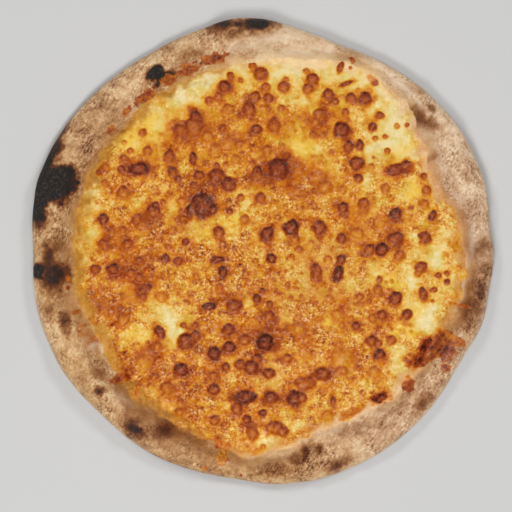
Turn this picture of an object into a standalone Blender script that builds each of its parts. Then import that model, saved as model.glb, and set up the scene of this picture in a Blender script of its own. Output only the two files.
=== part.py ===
"""A whole, uncut margherita pizza, about 327 mm across.

Two pieces: the baked dough, which is a thin flat base with a raised and uneven rim, and the melted
cheese, which lies in the dough's dish and is blistered all over. +Z is up, and the underside of the
dough lies on z = 0. Angles are counted anticlockwise from +X, in degrees.
"""
import math
import random

import bmesh
import bpy
import numpy as np
from mathutils import Vector, noise
from mathutils.geometry import delaunay_2d_cdt

MM = 0.001

# The outer edge of the rim: angle in degrees, radius in millimetres.
# It is a hand-stretched round, flattened at 70 and 331 degrees and pulled out at 97 and 163.
OUTER_EDGE = (
    (0, 161.7), (5, 158), (10, 160), (18, 161.5), (30, 161.5), (45, 159), (60, 155.5), (70, 153.5),
    (80, 156.5), (90, 162.5), (97, 164.5), (105, 161.5), (120, 159.5), (135, 161.5), (150, 164.5),
    (163, 166.2), (180, 161.3), (195, 164), (212, 164), (225, 161), (240, 162.5), (262, 160.5),
    (272, 163.4), (283, 164.5), (300, 163), (315, 161), (331, 157.5), (342, 161.7), (350, 159.5),
)
EDGE_BLUR = 2.2

# The line where the cheese ends on the rim, in the same way.
CHEESE_LINE = (
    (0, 140), (10, 139), (17, 132), (25, 129), (35, 134), (45, 143), (58, 147), (68, 146), (75, 135),
    (88, 134), (97, 132), (110, 131), (135, 131), (150, 133), (180, 133), (197, 134), (210, 131),
    (225, 136), (240, 135), (254, 139), (266, 145), (276, 139), (286, 131), (300, 133), (315, 136),
    (333, 136), (345, 143), (355, 142),
)
LINE_BLUR = 2.5
LINE_WOBBLE = 1.4 * MM
LINE_WOBBLE_DETAIL = 7.0

# The dough. Where the rim is narrow it is lower too, and its crown stays clear of the cheese.
BASE_THICKNESS = 4.0 * MM
RIM_HEIGHT = 16.0 * MM
RIM_HEIGHT_SWING = 2.6 * MM
RIM_HEIGHT_DETAIL = 2.6
RIM_FULL_WIDTH = 30.0 * MM
RIM_LEAST_WIDTH = 11.0 * MM
FOOT_INSET = 1.0 * MM
NARROW_RIM_SHARE = 0.55
CROWN_SHARE = 0.50
CROWN_CLEARANCE = 3.0 * MM
BULGE_HEIGHT_SHARE = 0.42
CURL = 7.0 * MM
LUMP_SIZE = 13.0 * MM
LUMP_HEIGHT = 1.1 * MM
RELIEF_FADE = 4.0 * MM

# The rings of the dough's surface, from its middle over the rim to the underside.
SECTORS = 150
DISH_RINGS = 3
DISH_RING_STEP = 6.0 * MM
SLOPE_RINGS = 5
OUTER_RINGS = 4
CURL_RINGS = 3

# Bubbles in the rim: x, y, radius and height in millimetres. The larger ones are those that charred.
RIM_BUBBLES = (
    (-146, 46, 14, 2.4), (-147, -12, 9, 1.8), (-73, 124, 7, 1.6), (-5, 157, 10, 1.4), (-28, 156, 8, 1.2),
    (108, 94, 11, 1.8), (146, -20, 11, 1.2), (111, -103, 9, 1.0), (-90, -123, 9, 1.2), (-68, -124, 8, 1.0),
    (28, -140, 10, 1.0), (134, 62, 12, 1.1), (-116, 104, 10, 1.0), (-60, -138, 11, 1.2),
    (-136, -74, 12, 1.3),
)
# Cheese that ran up on the rim and burnt there, in the same way.
RIM_SPLASHES = (
    (112, -65, 6, 1.4), (126, -66, 7, 1.5), (134, -66, 5, 1.0), (126, -77, 5, 1.1), (108, -76, 6, 1.4),
    (81, -101, 6, 1.2), (100, -92, 5, 1.2), (62, -112, 6, 1.0), (-36, 134, 6, 1.0), (-50, 126, 6, 0.9),
    (-92, 102, 6, 1.0), (-102, -89, 6, 0.9), (-94, -84, 4, 0.8),
)
DOME_POWER = 1.2

# The cheese
GAP = 0.3 * MM
CHEESE_THICKNESS = 3.2 * MM
CHEESE_EDGE_THICKNESS = 0.8 * MM
CHEESE_EDGE_WIDTH = 9.0 * MM
MOUND_SIZE = 26.0 * MM
MOUND_HEIGHT = 0.7 * MM
BLISTER_HEIGHT_SHARE = 0.40
BLISTER_MOST_HEIGHT = 3.0 * MM

# The blisters that stand out: x, y and radius in millimetres.
BLISTERS = (
    (-43, 31, 11), (-87, 57, 7), (-66, 66, 6), (-64, 55, 4), (-49, 88, 8), (-47, 95, 5), (-59, 84, 5),
    (-2, 124, 6), (-27, 115, 6), (-10, 99, 6), (-5, 85, 5), (-33, 53, 6), (-25, 47, 6), (-5, 53, 6),
    (10, 58, 9), (-31, 13, 5), (2, 12, 6), (-78, 28, 6), (-112, 22, 5), (-85, 18, 5), (-112, 5, 5),
    (-96, 5, 5), (33, 119, 6), (14, 115, 5), (45, 110, 5), (61, 107, 5), (71, 107, 6), (38, 96, 5),
    (54, 85, 7), (76, 87, 4), (59, 73, 5), (67, 73, 4), (65, 61, 6), (92, 57, 7), (99, 60, 5),
    (114, 43, 4), (55, 30, 5), (70, 33, 5), (93, 26, 5), (118, 25, 4), (19, 16, 7), (38, 16, 6),
    (54, 9, 4), (92, 9, 6), (113, 10, 5), (80, 0, 8), (-118, -13, 4), (-106, -13, 5), (-69, -5, 4),
    (-83, -26, 5), (-72, -33, 5), (-31, -7, 4), (-29, -14, 4), (-21, -38, 6), (-38, -38, 5),
    (-25, -55, 5), (-73, -56, 5), (-54, -62, 7), (-24, -67, 5), (1, -63, 7), (-14, -62, 5),
    (-35, -72, 6), (-10, -80, 8), (-58, -83, 6), (4, -86, 5), (-84, -77, 5), (-35, -96, 6),
    (-68, -96, 6), (-18, -101, 5), (-8, -102, 6), (4, -102, 6), (-19, -110, 5), (-34, -118, 5),
    (-59, -112, 4), (-8, -127, 6), (36, -14, 6), (52, -15, 5), (53, -7, 4), (110, -11, 5),
    (111, -30, 5), (92, -33, 6), (100, -44, 5), (82, -45, 4), (75, -63, 5), (81, -72, 5), (55, -75, 8),
    (77, -84, 5), (41, -86, 7), (29, -92, 6), (22, -103, 7), (10, -124, 6), (44, -115, 5), (94, -3, 5),
)
# Smaller ones fill the room between them.
SMALL_BLISTERS = 260
SMALL_BLISTER_RADII = (2.2 * MM, 3.8 * MM)
BLISTER_SPACING = 0.8 * MM
MOST_DRAWS = 20000
SEED = 33

# How the top of the cheese is split: rings of points round each blister as share of its radius and
# count, then an even filling between the blisters.
LARGE_BLISTER_RINGS = ((0.62, 6), (1.05, 8))
SMALL_BLISTER_RINGS = ((1.0, 6),)
BLISTER_POINT_SPACING = 1.1 * MM
BLISTER_POINT_MARGIN = 2.5 * MM
FILL_STEP = 6.6 * MM
FILL_JITTER = 0.8 * MM
FILL_SPACING = 3.4 * MM
FILL_MARGIN = 3.0 * MM
INSIDE_OUTLINE = 1
SAME_POINT = 1e-7

CRUST_COLOUR = (0.47, 0.27, 0.13, 1.0)
CRUST_ROUGHNESS = 0.85
CHEESE_COLOUR = (0.60, 0.23, 0.03, 1.0)
CHEESE_ROUGHNESS = 0.35


def clear_scene():
    """Remove whatever the open file holds."""
    for found in list(bpy.data.objects):
        bpy.data.objects.remove(found, do_unlink=True)


def softened_ring(knots, blur):
    """One radius in metres for each whole degree, through the knots, with its corners softened."""
    angles = np.arange(360)
    radii = np.interp(angles, [knot[0] for knot in knots], [knot[1] for knot in knots], period=360)
    offsets = (angles + 180) % 360 - 180
    weights = np.exp(-0.5 * (offsets / blur) ** 2)
    weights /= weights.sum()
    softened = np.fft.ifft(np.fft.fft(radii) * np.fft.fft(weights)).real
    return softened * MM


OUTER_RADII = softened_ring(OUTER_EDGE, EDGE_BLUR)
CHEESE_RADII = softened_ring(CHEESE_LINE, LINE_BLUR)


def read_ring(radii, angle):
    """The radius of a ring at any angle."""
    return float(np.interp(angle, np.arange(360), radii, period=360))


def wobble(angle, detail):
    """A smooth, uneven value from about -1 to 1 that closes on itself after a full turn."""
    turn = math.radians(angle)
    return 2.0 * noise.noise(Vector((math.cos(turn), math.sin(turn), 1.0)) * detail)


def unevenness(x, y, size):
    """A smooth, uneven value from about -1 to 1 over the plane, with features of the given size."""
    return 2.0 * noise.noise(Vector((x, y, 0.0)) / size)


def outer_radius(angle):
    return read_ring(OUTER_RADII, angle)


def cheese_radius(angle):
    return read_ring(CHEESE_RADII, angle) + LINE_WOBBLE * wobble(angle, LINE_WOBBLE_DETAIL)


def foot_radius(angle):
    """Where the floor of the dish starts to rise to the rim."""
    return min(cheese_radius(angle) - FOOT_INSET, outer_radius(angle) - RIM_LEAST_WIDTH)


def crown_radius(angle):
    """Where the rim is highest."""
    foot = foot_radius(angle)
    middle = foot + (outer_radius(angle) - foot) * CROWN_SHARE
    return max(middle, cheese_radius(angle) + CROWN_CLEARANCE)


def rim_height(angle):
    """The height of the crown, lower where the rim is narrow."""
    width_share = min((outer_radius(angle) - foot_radius(angle)) / RIM_FULL_WIDTH, 1.0)
    full_height = RIM_HEIGHT + RIM_HEIGHT_SWING * wobble(angle, RIM_HEIGHT_DETAIL)
    return full_height * (NARROW_RIM_SHARE + (1.0 - NARROW_RIM_SHARE) * width_share)


def smooth_rise(share):
    """From 0 to 1 with level ends."""
    share = min(max(share, 0.0), 1.0)
    return share * share * (3.0 - 2.0 * share)


def dome(distance, radius, height):
    """The height of a round bubble at a distance from its middle."""
    share = distance / radius
    if share >= 1.0:
        return 0.0
    return height * (1.0 - share * share) ** DOME_POWER


def place(radius, angle):
    turn = math.radians(angle)
    return radius * math.cos(turn), radius * math.sin(turn)


def angle_of(x, y):
    return math.degrees(math.atan2(y, x)) % 360.0


def rim_relief(x, y):
    """Lumps, bubbles and burnt splashes on top of the rim."""
    relief = LUMP_HEIGHT * unevenness(x, y, LUMP_SIZE)
    for bubble_x, bubble_y, radius, height in RIM_BUBBLES + RIM_SPLASHES:
        distance = math.hypot(x - bubble_x * MM, y - bubble_y * MM)
        relief += dome(distance, radius * MM, height * MM)
    return relief


def dish_height(radius, angle):
    """The top of the dough from the middle out to the crown of the rim."""
    foot = foot_radius(angle)
    rise = smooth_rise((radius - foot) / (crown_radius(angle) - foot))
    return BASE_THICKNESS + (rim_height(angle) - BASE_THICKNESS) * rise


def dish_rings(angle):
    """Radius and height of the dough under the cheese, from the inmost ring to the cheese line."""
    edge = cheese_radius(angle)
    radii = [edge - DISH_RING_STEP * step for step in range(DISH_RINGS, -1, -1)]
    return [(radius, dish_height(radius, angle)) for radius in radii]


def rim_rings(angle):
    """Radius and height of the dough from the cheese line over the rim to the flat underside."""
    edge = cheese_radius(angle)
    crown = crown_radius(angle)
    outer = outer_radius(angle)
    height = rim_height(angle)
    bulge = height * BULGE_HEIGHT_SHARE
    rings = []
    for step in range(1, SLOPE_RINGS + 1):
        radius = edge + (crown - edge) * step / SLOPE_RINGS
        rings.append((radius, dish_height(radius, angle)))
    for step in range(1, OUTER_RINGS + 1):
        turn = math.radians(90 * step / OUTER_RINGS)
        radius = crown + (outer - crown) * math.sin(turn)
        rings.append((radius, bulge + (height - bulge) * math.cos(turn)))
    for step in range(1, CURL_RINGS + 1):
        turn = math.radians(90 * step / CURL_RINGS)
        rings.append((outer - CURL * (1.0 - math.cos(turn)), bulge * (1.0 - math.sin(turn))))
    return rings


def sector_angles():
    return [360.0 * sector / SECTORS for sector in range(SECTORS)]


def add_rings(mesh, rings_at, lift=0.0, relief=None):
    """Add the rings that rings_at gives for each sector, as one list of vertices for each ring."""
    columns = []
    for angle in sector_angles():
        column = []
        for radius, height in rings_at(angle):
            x, y = place(radius, angle)
            if relief is not None:
                height += relief(x, y) * smooth_rise((height - BASE_THICKNESS) / RELIEF_FADE)
            column.append(mesh.verts.new((x, y, height + lift)))
        columns.append(column)
    return [list(ring) for ring in zip(*columns)]


def join_rings(mesh, rings):
    """Join each ring to the next with two triangles for each sector."""
    for inner, outer in zip(rings, rings[1:]):
        for sector in range(SECTORS):
            after = (sector + 1) % SECTORS
            mesh.faces.new((inner[sector], outer[sector], outer[after]))
            mesh.faces.new((inner[sector], outer[after], inner[after]))


def close_ring(mesh, ring, height):
    """Fill a ring with triangles round a point in the middle."""
    middle = mesh.verts.new((0.0, 0.0, height))
    for sector in range(SECTORS):
        mesh.faces.new((middle, ring[sector], ring[(sector + 1) % SECTORS]))


def finish_object(mesh, name, colour, roughness):
    """Turn the mesh into a named object with its faces out and a material of its own."""
    bmesh.ops.recalc_face_normals(mesh, faces=mesh.faces)
    data = bpy.data.meshes.new(name)
    mesh.to_mesh(data)
    mesh.free()
    data.shade_smooth()
    made = bpy.data.objects.new(name, data)
    bpy.context.scene.collection.objects.link(made)
    material = bpy.data.materials.new(name)
    material.use_nodes = True
    shader = material.node_tree.nodes["Principled BSDF"]
    shader.inputs["Base Color"].default_value = colour
    shader.inputs["Roughness"].default_value = roughness
    shader.inputs["Metallic"].default_value = 0.0
    data.materials.append(material)
    return made


def make_crust():
    """The dough: the dish under the cheese, the rim, and the flat underside."""
    mesh = bmesh.new()
    dish = add_rings(mesh, dish_rings)
    rim = add_rings(mesh, rim_rings, relief=rim_relief)
    join_rings(mesh, dish + rim)
    close_ring(mesh, dish[0], BASE_THICKNESS)
    close_ring(mesh, rim[-1], 0.0)
    return finish_object(mesh, "crust", CRUST_COLOUR, CRUST_ROUGHNESS)


def add_small_blisters(large):
    """Draw places and radii for the small blisters, clear of each other and of the large ones."""
    draw = random.Random(SEED)
    placed = list(large)
    for _ in range(MOST_DRAWS):
        if len(placed) == len(large) + SMALL_BLISTERS:
            break
        angle = draw.uniform(0.0, 360.0)
        radius = draw.uniform(*SMALL_BLISTER_RADII)
        x, y = place((cheese_radius(angle) - CHEESE_EDGE_WIDTH) * math.sqrt(draw.random()), angle)
        clear = all(
            math.hypot(x - other_x, y - other_y) > radius + other_radius + BLISTER_SPACING
            for other_x, other_y, other_radius in placed
        )
        if clear:
            placed.append((x, y, radius))
    return placed


def cheese_relief(x, y, blisters):
    """Soft mounds of melted cheese, with the highest blister that covers the point."""
    highest = 0.0
    for blister_x, blister_y, radius in blisters:
        height = min(radius * BLISTER_HEIGHT_SHARE, BLISTER_MOST_HEIGHT)
        highest = max(highest, dome(math.hypot(x - blister_x, y - blister_y), radius, height))
    return MOUND_HEIGHT * unevenness(x, y, MOUND_SIZE) + highest


def cheese_top_height(x, y, blisters):
    """The cheese follows the dough under it, and thins to its edge."""
    radius = math.hypot(x, y)
    angle = angle_of(x, y)
    inside = smooth_rise((cheese_radius(angle) - radius) / CHEESE_EDGE_WIDTH)
    thickness = CHEESE_EDGE_THICKNESS + (CHEESE_THICKNESS - CHEESE_EDGE_THICKNESS) * inside
    return dish_height(radius, angle) + GAP + thickness + cheese_relief(x, y, blisters) * inside


def blister_points(blisters):
    """Points that draw each blister: its middle and the rings round it."""
    points = []
    for x, y, radius in blisters:
        points.append((x, y))
        is_large = radius > SMALL_BLISTER_RADII[1]
        for share, count in LARGE_BLISTER_RINGS if is_large else SMALL_BLISTER_RINGS:
            for step in range(count):
                side_x, side_y = place(radius * share, 360.0 * step / count)
                points.append((x + side_x, y + side_y))
    return points


def fill_points():
    """An even, slightly jittered triangular grid over the whole disc."""
    draw = random.Random(SEED + 1)
    row_step = FILL_STEP * math.sqrt(0.75)
    rows = int(max(OUTER_RADII) / row_step)
    points = []
    for row in range(-rows, rows + 1):
        for column in range(-rows, rows + 1):
            x = (column + 0.5 * (row % 2)) * FILL_STEP + draw.uniform(-FILL_JITTER, FILL_JITTER)
            y = row * row_step + draw.uniform(-FILL_JITTER, FILL_JITTER)
            points.append((x, y))
    return points


def inside_cheese(points, margin):
    """The points that lie inside the cheese line by the margin."""
    return [(x, y) for x, y in points if math.hypot(x, y) < cheese_radius(angle_of(x, y)) - margin]


def keep_apart(points, least, already):
    """The points that lie at least so far from each other and from those already there."""
    taken = np.array(already)
    kept = []
    for point in points:
        if np.hypot(*(taken - point).T).min() >= least:
            taken = np.vstack([taken, point])
            kept.append(point)
    return kept


def make_cheese():
    """The cheese: its underside follows the dish, and its top is triangulated round the blisters."""
    blisters = add_small_blisters([(x * MM, y * MM, radius * MM) for x, y, radius in BLISTERS])
    points = [place(cheese_radius(angle), angle) for angle in sector_angles()]
    drawn = inside_cheese(blister_points(blisters), BLISTER_POINT_MARGIN)
    points += keep_apart(drawn, BLISTER_POINT_SPACING, points)
    filling = inside_cheese(fill_points(), FILL_MARGIN)
    points += keep_apart(filling, FILL_SPACING, points)
    outline = [(sector, (sector + 1) % SECTORS) for sector in range(SECTORS)]
    flat = [Vector(point) for point in points]
    split = delaunay_2d_cdt(flat, outline, [], INSIDE_OUTLINE, SAME_POINT)
    corners, _, triangles, sources, _, _ = split

    mesh = bmesh.new()
    underside = add_rings(mesh, dish_rings, lift=GAP)
    close_ring(mesh, underside[0], BASE_THICKNESS + GAP)
    top = [mesh.verts.new((x, y, cheese_top_height(x, y, blisters))) for x, y in corners]
    for triangle in triangles:
        mesh.faces.new([top[corner] for corner in triangle])
    place_of_source = {source[0]: place_on_top for place_on_top, source in enumerate(sources) if source}
    top_edge = [top[place_of_source[sector]] for sector in range(SECTORS)]
    join_rings(mesh, underside + [top_edge])
    return finish_object(mesh, "cheese", CHEESE_COLOUR, CHEESE_ROUGHNESS)


clear_scene()
make_crust()
make_cheese()
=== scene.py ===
# %% [markdown]
# # A margherita pizza, seen from straight above
#
# The real thing is two layers: a disc of dough, stretched by hand and baked so hot that its rim charred
# in spots, and the mozzarella that melted over it, bubbled up and browned. This lesson makes each layer
# as one dense mesh over the solid that the frame gives, works out where it is pale, brown or burnt as
# values on the mesh's points, and lets the materials turn those values into colour, gloss and fine
# relief.

# %% Load the frame
import math
import random

import bpy
import numpy as np
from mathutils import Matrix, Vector, noise


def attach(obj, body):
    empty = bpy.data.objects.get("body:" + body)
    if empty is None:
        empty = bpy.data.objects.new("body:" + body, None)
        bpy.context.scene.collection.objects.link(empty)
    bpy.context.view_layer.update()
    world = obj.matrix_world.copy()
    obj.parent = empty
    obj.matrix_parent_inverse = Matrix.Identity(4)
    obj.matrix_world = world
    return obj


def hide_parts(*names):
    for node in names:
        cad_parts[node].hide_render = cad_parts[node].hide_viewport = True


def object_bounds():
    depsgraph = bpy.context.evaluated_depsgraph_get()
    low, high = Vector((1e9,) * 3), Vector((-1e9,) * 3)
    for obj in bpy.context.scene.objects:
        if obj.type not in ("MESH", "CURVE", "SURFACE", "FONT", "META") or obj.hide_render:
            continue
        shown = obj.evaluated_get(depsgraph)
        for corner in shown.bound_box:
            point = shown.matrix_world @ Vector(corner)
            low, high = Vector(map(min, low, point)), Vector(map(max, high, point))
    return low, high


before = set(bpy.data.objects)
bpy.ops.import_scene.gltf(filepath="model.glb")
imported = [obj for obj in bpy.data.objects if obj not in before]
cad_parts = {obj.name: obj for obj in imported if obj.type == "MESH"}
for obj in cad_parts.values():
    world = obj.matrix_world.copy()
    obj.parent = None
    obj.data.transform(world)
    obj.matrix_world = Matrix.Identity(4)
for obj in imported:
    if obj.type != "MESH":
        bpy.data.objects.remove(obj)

MM = 0.001
cad_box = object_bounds()
print("the solids span", [round((high - low) / MM, 1) for low, high in zip(*cad_box)], "mm")

# %% [markdown]
# ## The camera, the floor and the light
#
# The photo was taken from straight above, so the camera looks down from a little over a metre up, and its
# width is worked out from the size of a pixel. The light in the photo comes from the side nearest the
# reader: bubbles are bright on that side and dark on the other. A large soft lamp does that. Two weaker
# ones light the far side, a small near one makes the sharp glints in the fat, and a bright room keeps
# shadows from going black.

# %% Camera
PHOTO_PIXELS = 512
PIXEL_SIZE = 0.70 * MM
PIZZA_MIDDLE_IN_PHOTO = (264.0, 251.0)
CAMERA_HEIGHT = 1.1
OUTLINE_HEIGHT = 7.0 * MM

camera_data = bpy.data.cameras.new("camera")
camera = bpy.data.objects.new("camera", camera_data)
bpy.context.scene.collection.objects.link(camera)
view_width = PHOTO_PIXELS * PIXEL_SIZE
camera_data.angle = 2.0 * math.atan(view_width / 2.0 / (CAMERA_HEIGHT - OUTLINE_HEIGHT))
camera.location = (
    (PHOTO_PIXELS / 2 - PIZZA_MIDDLE_IN_PHOTO[0]) * PIXEL_SIZE,
    (PIZZA_MIDDLE_IN_PHOTO[1] - PHOTO_PIXELS / 2) * PIXEL_SIZE,
    CAMERA_HEIGHT,
)
bpy.context.scene.camera = camera
print("the camera sees", round(view_width / MM), "mm across")

# %% Floor
FLOOR_SIZE = 6.0
FLOOR_TONE = 0.60
FLOOR_ROUGHNESS = 0.8


def link(data, name):
    """Put a mesh or a lamp into the scene as an object."""
    made = bpy.data.objects.new(name, data)
    bpy.context.scene.collection.objects.link(made)
    return made


def corners_of_square(size):
    """A flat square round the origin."""
    half = size / 2
    return [(-half, -half, 0.0), (half, -half, 0.0), (half, half, 0.0), (-half, half, 0.0)]


floor_mesh = bpy.data.meshes.new("floor")
floor_mesh.from_pydata(corners_of_square(FLOOR_SIZE), [], [(0, 1, 2, 3)])
floor = link(floor_mesh, "floor")
floor.location.z = cad_box[0][2]
floor_finish = bpy.data.materials.new("floor")
floor_finish.use_nodes = True
floor_shader = floor_finish.node_tree.nodes["Principled BSDF"]
floor_shader.inputs["Base Color"].default_value = (FLOOR_TONE, FLOOR_TONE, FLOOR_TONE, 1.0)
floor_shader.inputs["Roughness"].default_value = FLOOR_ROUGHNESS
floor_mesh.materials.append(floor_finish)

# %% Light
ROOM_LIGHT = 0.24
ROOM_COLOUR = (1.0, 0.98, 0.95, 1.0)
# Place in metres, size in metres, power in watts.
LAMPS = {
    "window": ((-0.26, -0.88, 1.38), 0.45, 11.5),
    "left lamp": ((-0.85, 0.75, 1.30), 0.40, 7.0),
    "right lamp": ((0.95, 0.65, 1.30), 0.40, 7.0),
    "near lamp": ((0.32, -0.42, 1.55), 0.08, 3.2),
}

bpy.context.scene.view_settings.view_transform = "Standard"
world = bpy.data.worlds.new("room")
bpy.context.scene.world = world
world.use_nodes = True
room_shader = world.node_tree.nodes["Background"]
room_shader.inputs["Color"].default_value = ROOM_COLOUR
room_shader.inputs["Strength"].default_value = ROOM_LIGHT
for lamp_name, (lamp_place, lamp_size, lamp_power) in LAMPS.items():
    lamp_data = bpy.data.lights.new(lamp_name, "AREA")
    lamp_data.size = lamp_size
    lamp_data.energy = lamp_power
    lamp = link(lamp_data, lamp_name)
    lamp.location = lamp_place
    lamp.rotation_euler = (-Vector(lamp_place)).to_track_quat("-Z", "Y").to_euler()
    print(lamp_name, "stands", round(Vector(lamp_place).length, 2), "m away")

# %% [markdown]
# ## The outline and the cheese line
#
# A hand-stretched pizza is a round with flats and bulges, so its outline can't come from a circle. A
# circle with noise on it would give another pizza. The two lines here are a few radii read at the
# angles where the shape turns, joined and then softened, and they are the ones that the solids have.
# Angles are counted anticlockwise from +X, and radii are in millimetres.

# %% Two lines round the pizza
OUTER_EDGE = (
    (0, 161.7), (5, 158), (10, 160), (18, 161.5), (30, 161.5), (45, 159), (60, 155.5), (70, 153.5),
    (80, 156.5), (90, 162.5), (97, 164.5), (105, 161.5), (120, 159.5), (135, 161.5), (150, 164.5),
    (163, 166.2), (180, 161.3), (195, 164), (212, 164), (225, 161), (240, 162.5), (262, 160.5),
    (272, 163.4), (283, 164.5), (300, 163), (315, 161), (331, 157.5), (342, 161.7), (350, 159.5),
)
CHEESE_LINE = (
    (0, 140), (10, 139), (17, 132), (25, 129), (35, 134), (45, 143), (58, 147), (68, 146), (75, 135),
    (88, 134), (97, 132), (110, 131), (135, 131), (150, 133), (180, 133), (197, 134), (210, 131),
    (225, 136), (240, 135), (254, 139), (266, 145), (276, 139), (286, 131), (300, 133), (315, 136),
    (333, 136), (345, 143), (355, 142),
)
EDGE_BLUR = 2.2
LINE_BLUR = 2.5


def softened_ring(knots, blur, column=1):
    """One value for each whole degree, through one column of the knots, with its corners softened."""
    angles = np.arange(360)
    values = np.interp(angles, [knot[0] for knot in knots], [knot[column] for knot in knots], period=360)
    offsets = (angles + 180) % 360 - 180
    weights = np.exp(-0.5 * (offsets / blur) ** 2)
    return np.fft.ifft(np.fft.fft(values) * np.fft.fft(weights / weights.sum())).real


def read_ring(ring, angle):
    """The value of a ring at any angles."""
    return np.interp(angle, np.arange(360), ring, period=360)


outer_ring = softened_ring(OUTER_EDGE, EDGE_BLUR) * MM
cheese_ring = softened_ring(CHEESE_LINE, LINE_BLUR) * MM
rim_width = (outer_ring - cheese_ring) / MM
print("the rim is", round(rim_width.min()), "to", round(rim_width.max()), "mm wide")

# %% [markdown]
# ## Unevenness
#
# Everything about baked food is uneven, at every size from the sag of the whole rim to grains of flour.
# All of it comes from one smooth noise, read at different sizes. `uneven` reads it over the plane,
# `wobble` round the pizza so that it closes on itself.

# %% Noise over the plane and round the rim
def uneven(x, y, size, layer=0.0):
    """A smooth value from about -1 to 1 at each point, with features of one size. A layer is a pattern."""
    read = noise.noise
    scale = 1.0 / size
    return 2.0 * np.array([read((a, b, layer)) for a, b in zip((x * scale).tolist(), (y * scale).tolist())])


def layered(x, y, *waves):
    """Unevenness of several sizes at once: each wave is a strength, a size in millimetres and a layer."""
    return sum(strength * uneven(x, y, size * MM, layer) for strength, size, layer in waves)


def wobble(angle, detail):
    """A smooth value from about -1 to 1 at each angle."""
    turn = np.radians(angle)
    return 2.0 * np.array([noise.noise(Vector((math.cos(t), math.sin(t), 1.0)) * detail) for t in turn])


def smooth_rise(share):
    """From 0 to 1 with level ends."""
    share = np.clip(share, 0.0, 1.0)
    return share * share * (3.0 - 2.0 * share)


def bell(x, y, middle_x, middle_y, reach):
    """A soft patch: 1 in its middle, fading out past its reach, all three given in millimetres."""
    return np.exp(-((x - middle_x * MM) ** 2 + (y - middle_y * MM) ** 2) / (reach * MM) ** 2)


def oval_share(x, y, middle_x, middle_y, long_radius, short_radius, tilt):
    """How far points lie from an oval's middle, as a share of its radius there: 1 is on its edge."""
    turn = math.radians(tilt)
    along = (x - middle_x) * math.cos(turn) + (y - middle_y) * math.sin(turn)
    across = (y - middle_y) * math.cos(turn) - (x - middle_x) * math.sin(turn)
    return np.sqrt((along / long_radius) ** 2 + (across / short_radius) ** 2)


def along_rim(x, y, angle, radius, long_reach, cross_reach):
    """The same share for an oval that lies along the rim, its middle at an angle and a radius."""
    turn = (np.degrees(np.arctan2(y, x)) - angle + 180.0) % 360.0 - 180.0
    along = np.radians(turn) * radius * MM
    across = np.hypot(x, y) - radius * MM
    return np.sqrt((along / (long_reach * MM)) ** 2 + (across / (cross_reach * MM)) ** 2)


# %% [markdown]
# ## The form of the dough
#
# From the middle outwards the dough is a flat floor, a slope up to the crown, a round shoulder, and a
# curl back to the table. The height of every point follows from its radius and angle, so the dough and
# the cheese on it can both read one function. Where the rim is narrow it is lower too.

# %% The dough from the floor of the dish to the crown
BASE_THICKNESS = 4.0 * MM
RIM_HEIGHT = 16.0 * MM
RIM_HEIGHT_SWING = 2.6 * MM
RIM_HEIGHT_DETAIL = 2.6
RIM_FULL_WIDTH = 30.0 * MM
RIM_LEAST_WIDTH = 11.0 * MM
NARROW_RIM_SHARE = 0.55
CROWN_SHARE = 0.50
CROWN_CLEARANCE = 3.0 * MM
FOOT_SETBACK = 1.0 * MM
BULGE_HEIGHT_SHARE = 0.42
CURL = 7.0 * MM
LINE_WOBBLE = 1.4 * MM
LINE_WOBBLE_DETAIL = 7.0

whole_degrees = np.arange(360)
cheese_edge_ring = cheese_ring + LINE_WOBBLE * wobble(whole_degrees, LINE_WOBBLE_DETAIL)
foot_ring = np.minimum(cheese_edge_ring - FOOT_SETBACK, outer_ring - RIM_LEAST_WIDTH)
crown_ring = foot_ring + (outer_ring - foot_ring) * CROWN_SHARE
crown_ring = np.maximum(crown_ring, cheese_edge_ring + CROWN_CLEARANCE)
rim_width_share = np.minimum((outer_ring - foot_ring) / RIM_FULL_WIDTH, 1.0)
height_ring = RIM_HEIGHT + RIM_HEIGHT_SWING * wobble(whole_degrees, RIM_HEIGHT_DETAIL)
height_ring *= NARROW_RIM_SHARE + (1.0 - NARROW_RIM_SHARE) * rim_width_share


def dish_height(radius, angle):
    """The height of the dough from the middle out to the crown of the rim."""
    foot = read_ring(foot_ring, angle)
    rise = smooth_rise((radius - foot) / (read_ring(crown_ring, angle) - foot))
    return BASE_THICKNESS + (read_ring(height_ring, angle) - BASE_THICKNESS) * rise


print("the rim stands", round(height_ring.min() / MM, 1), "to", round(height_ring.max() / MM, 1), "mm high")
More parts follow.
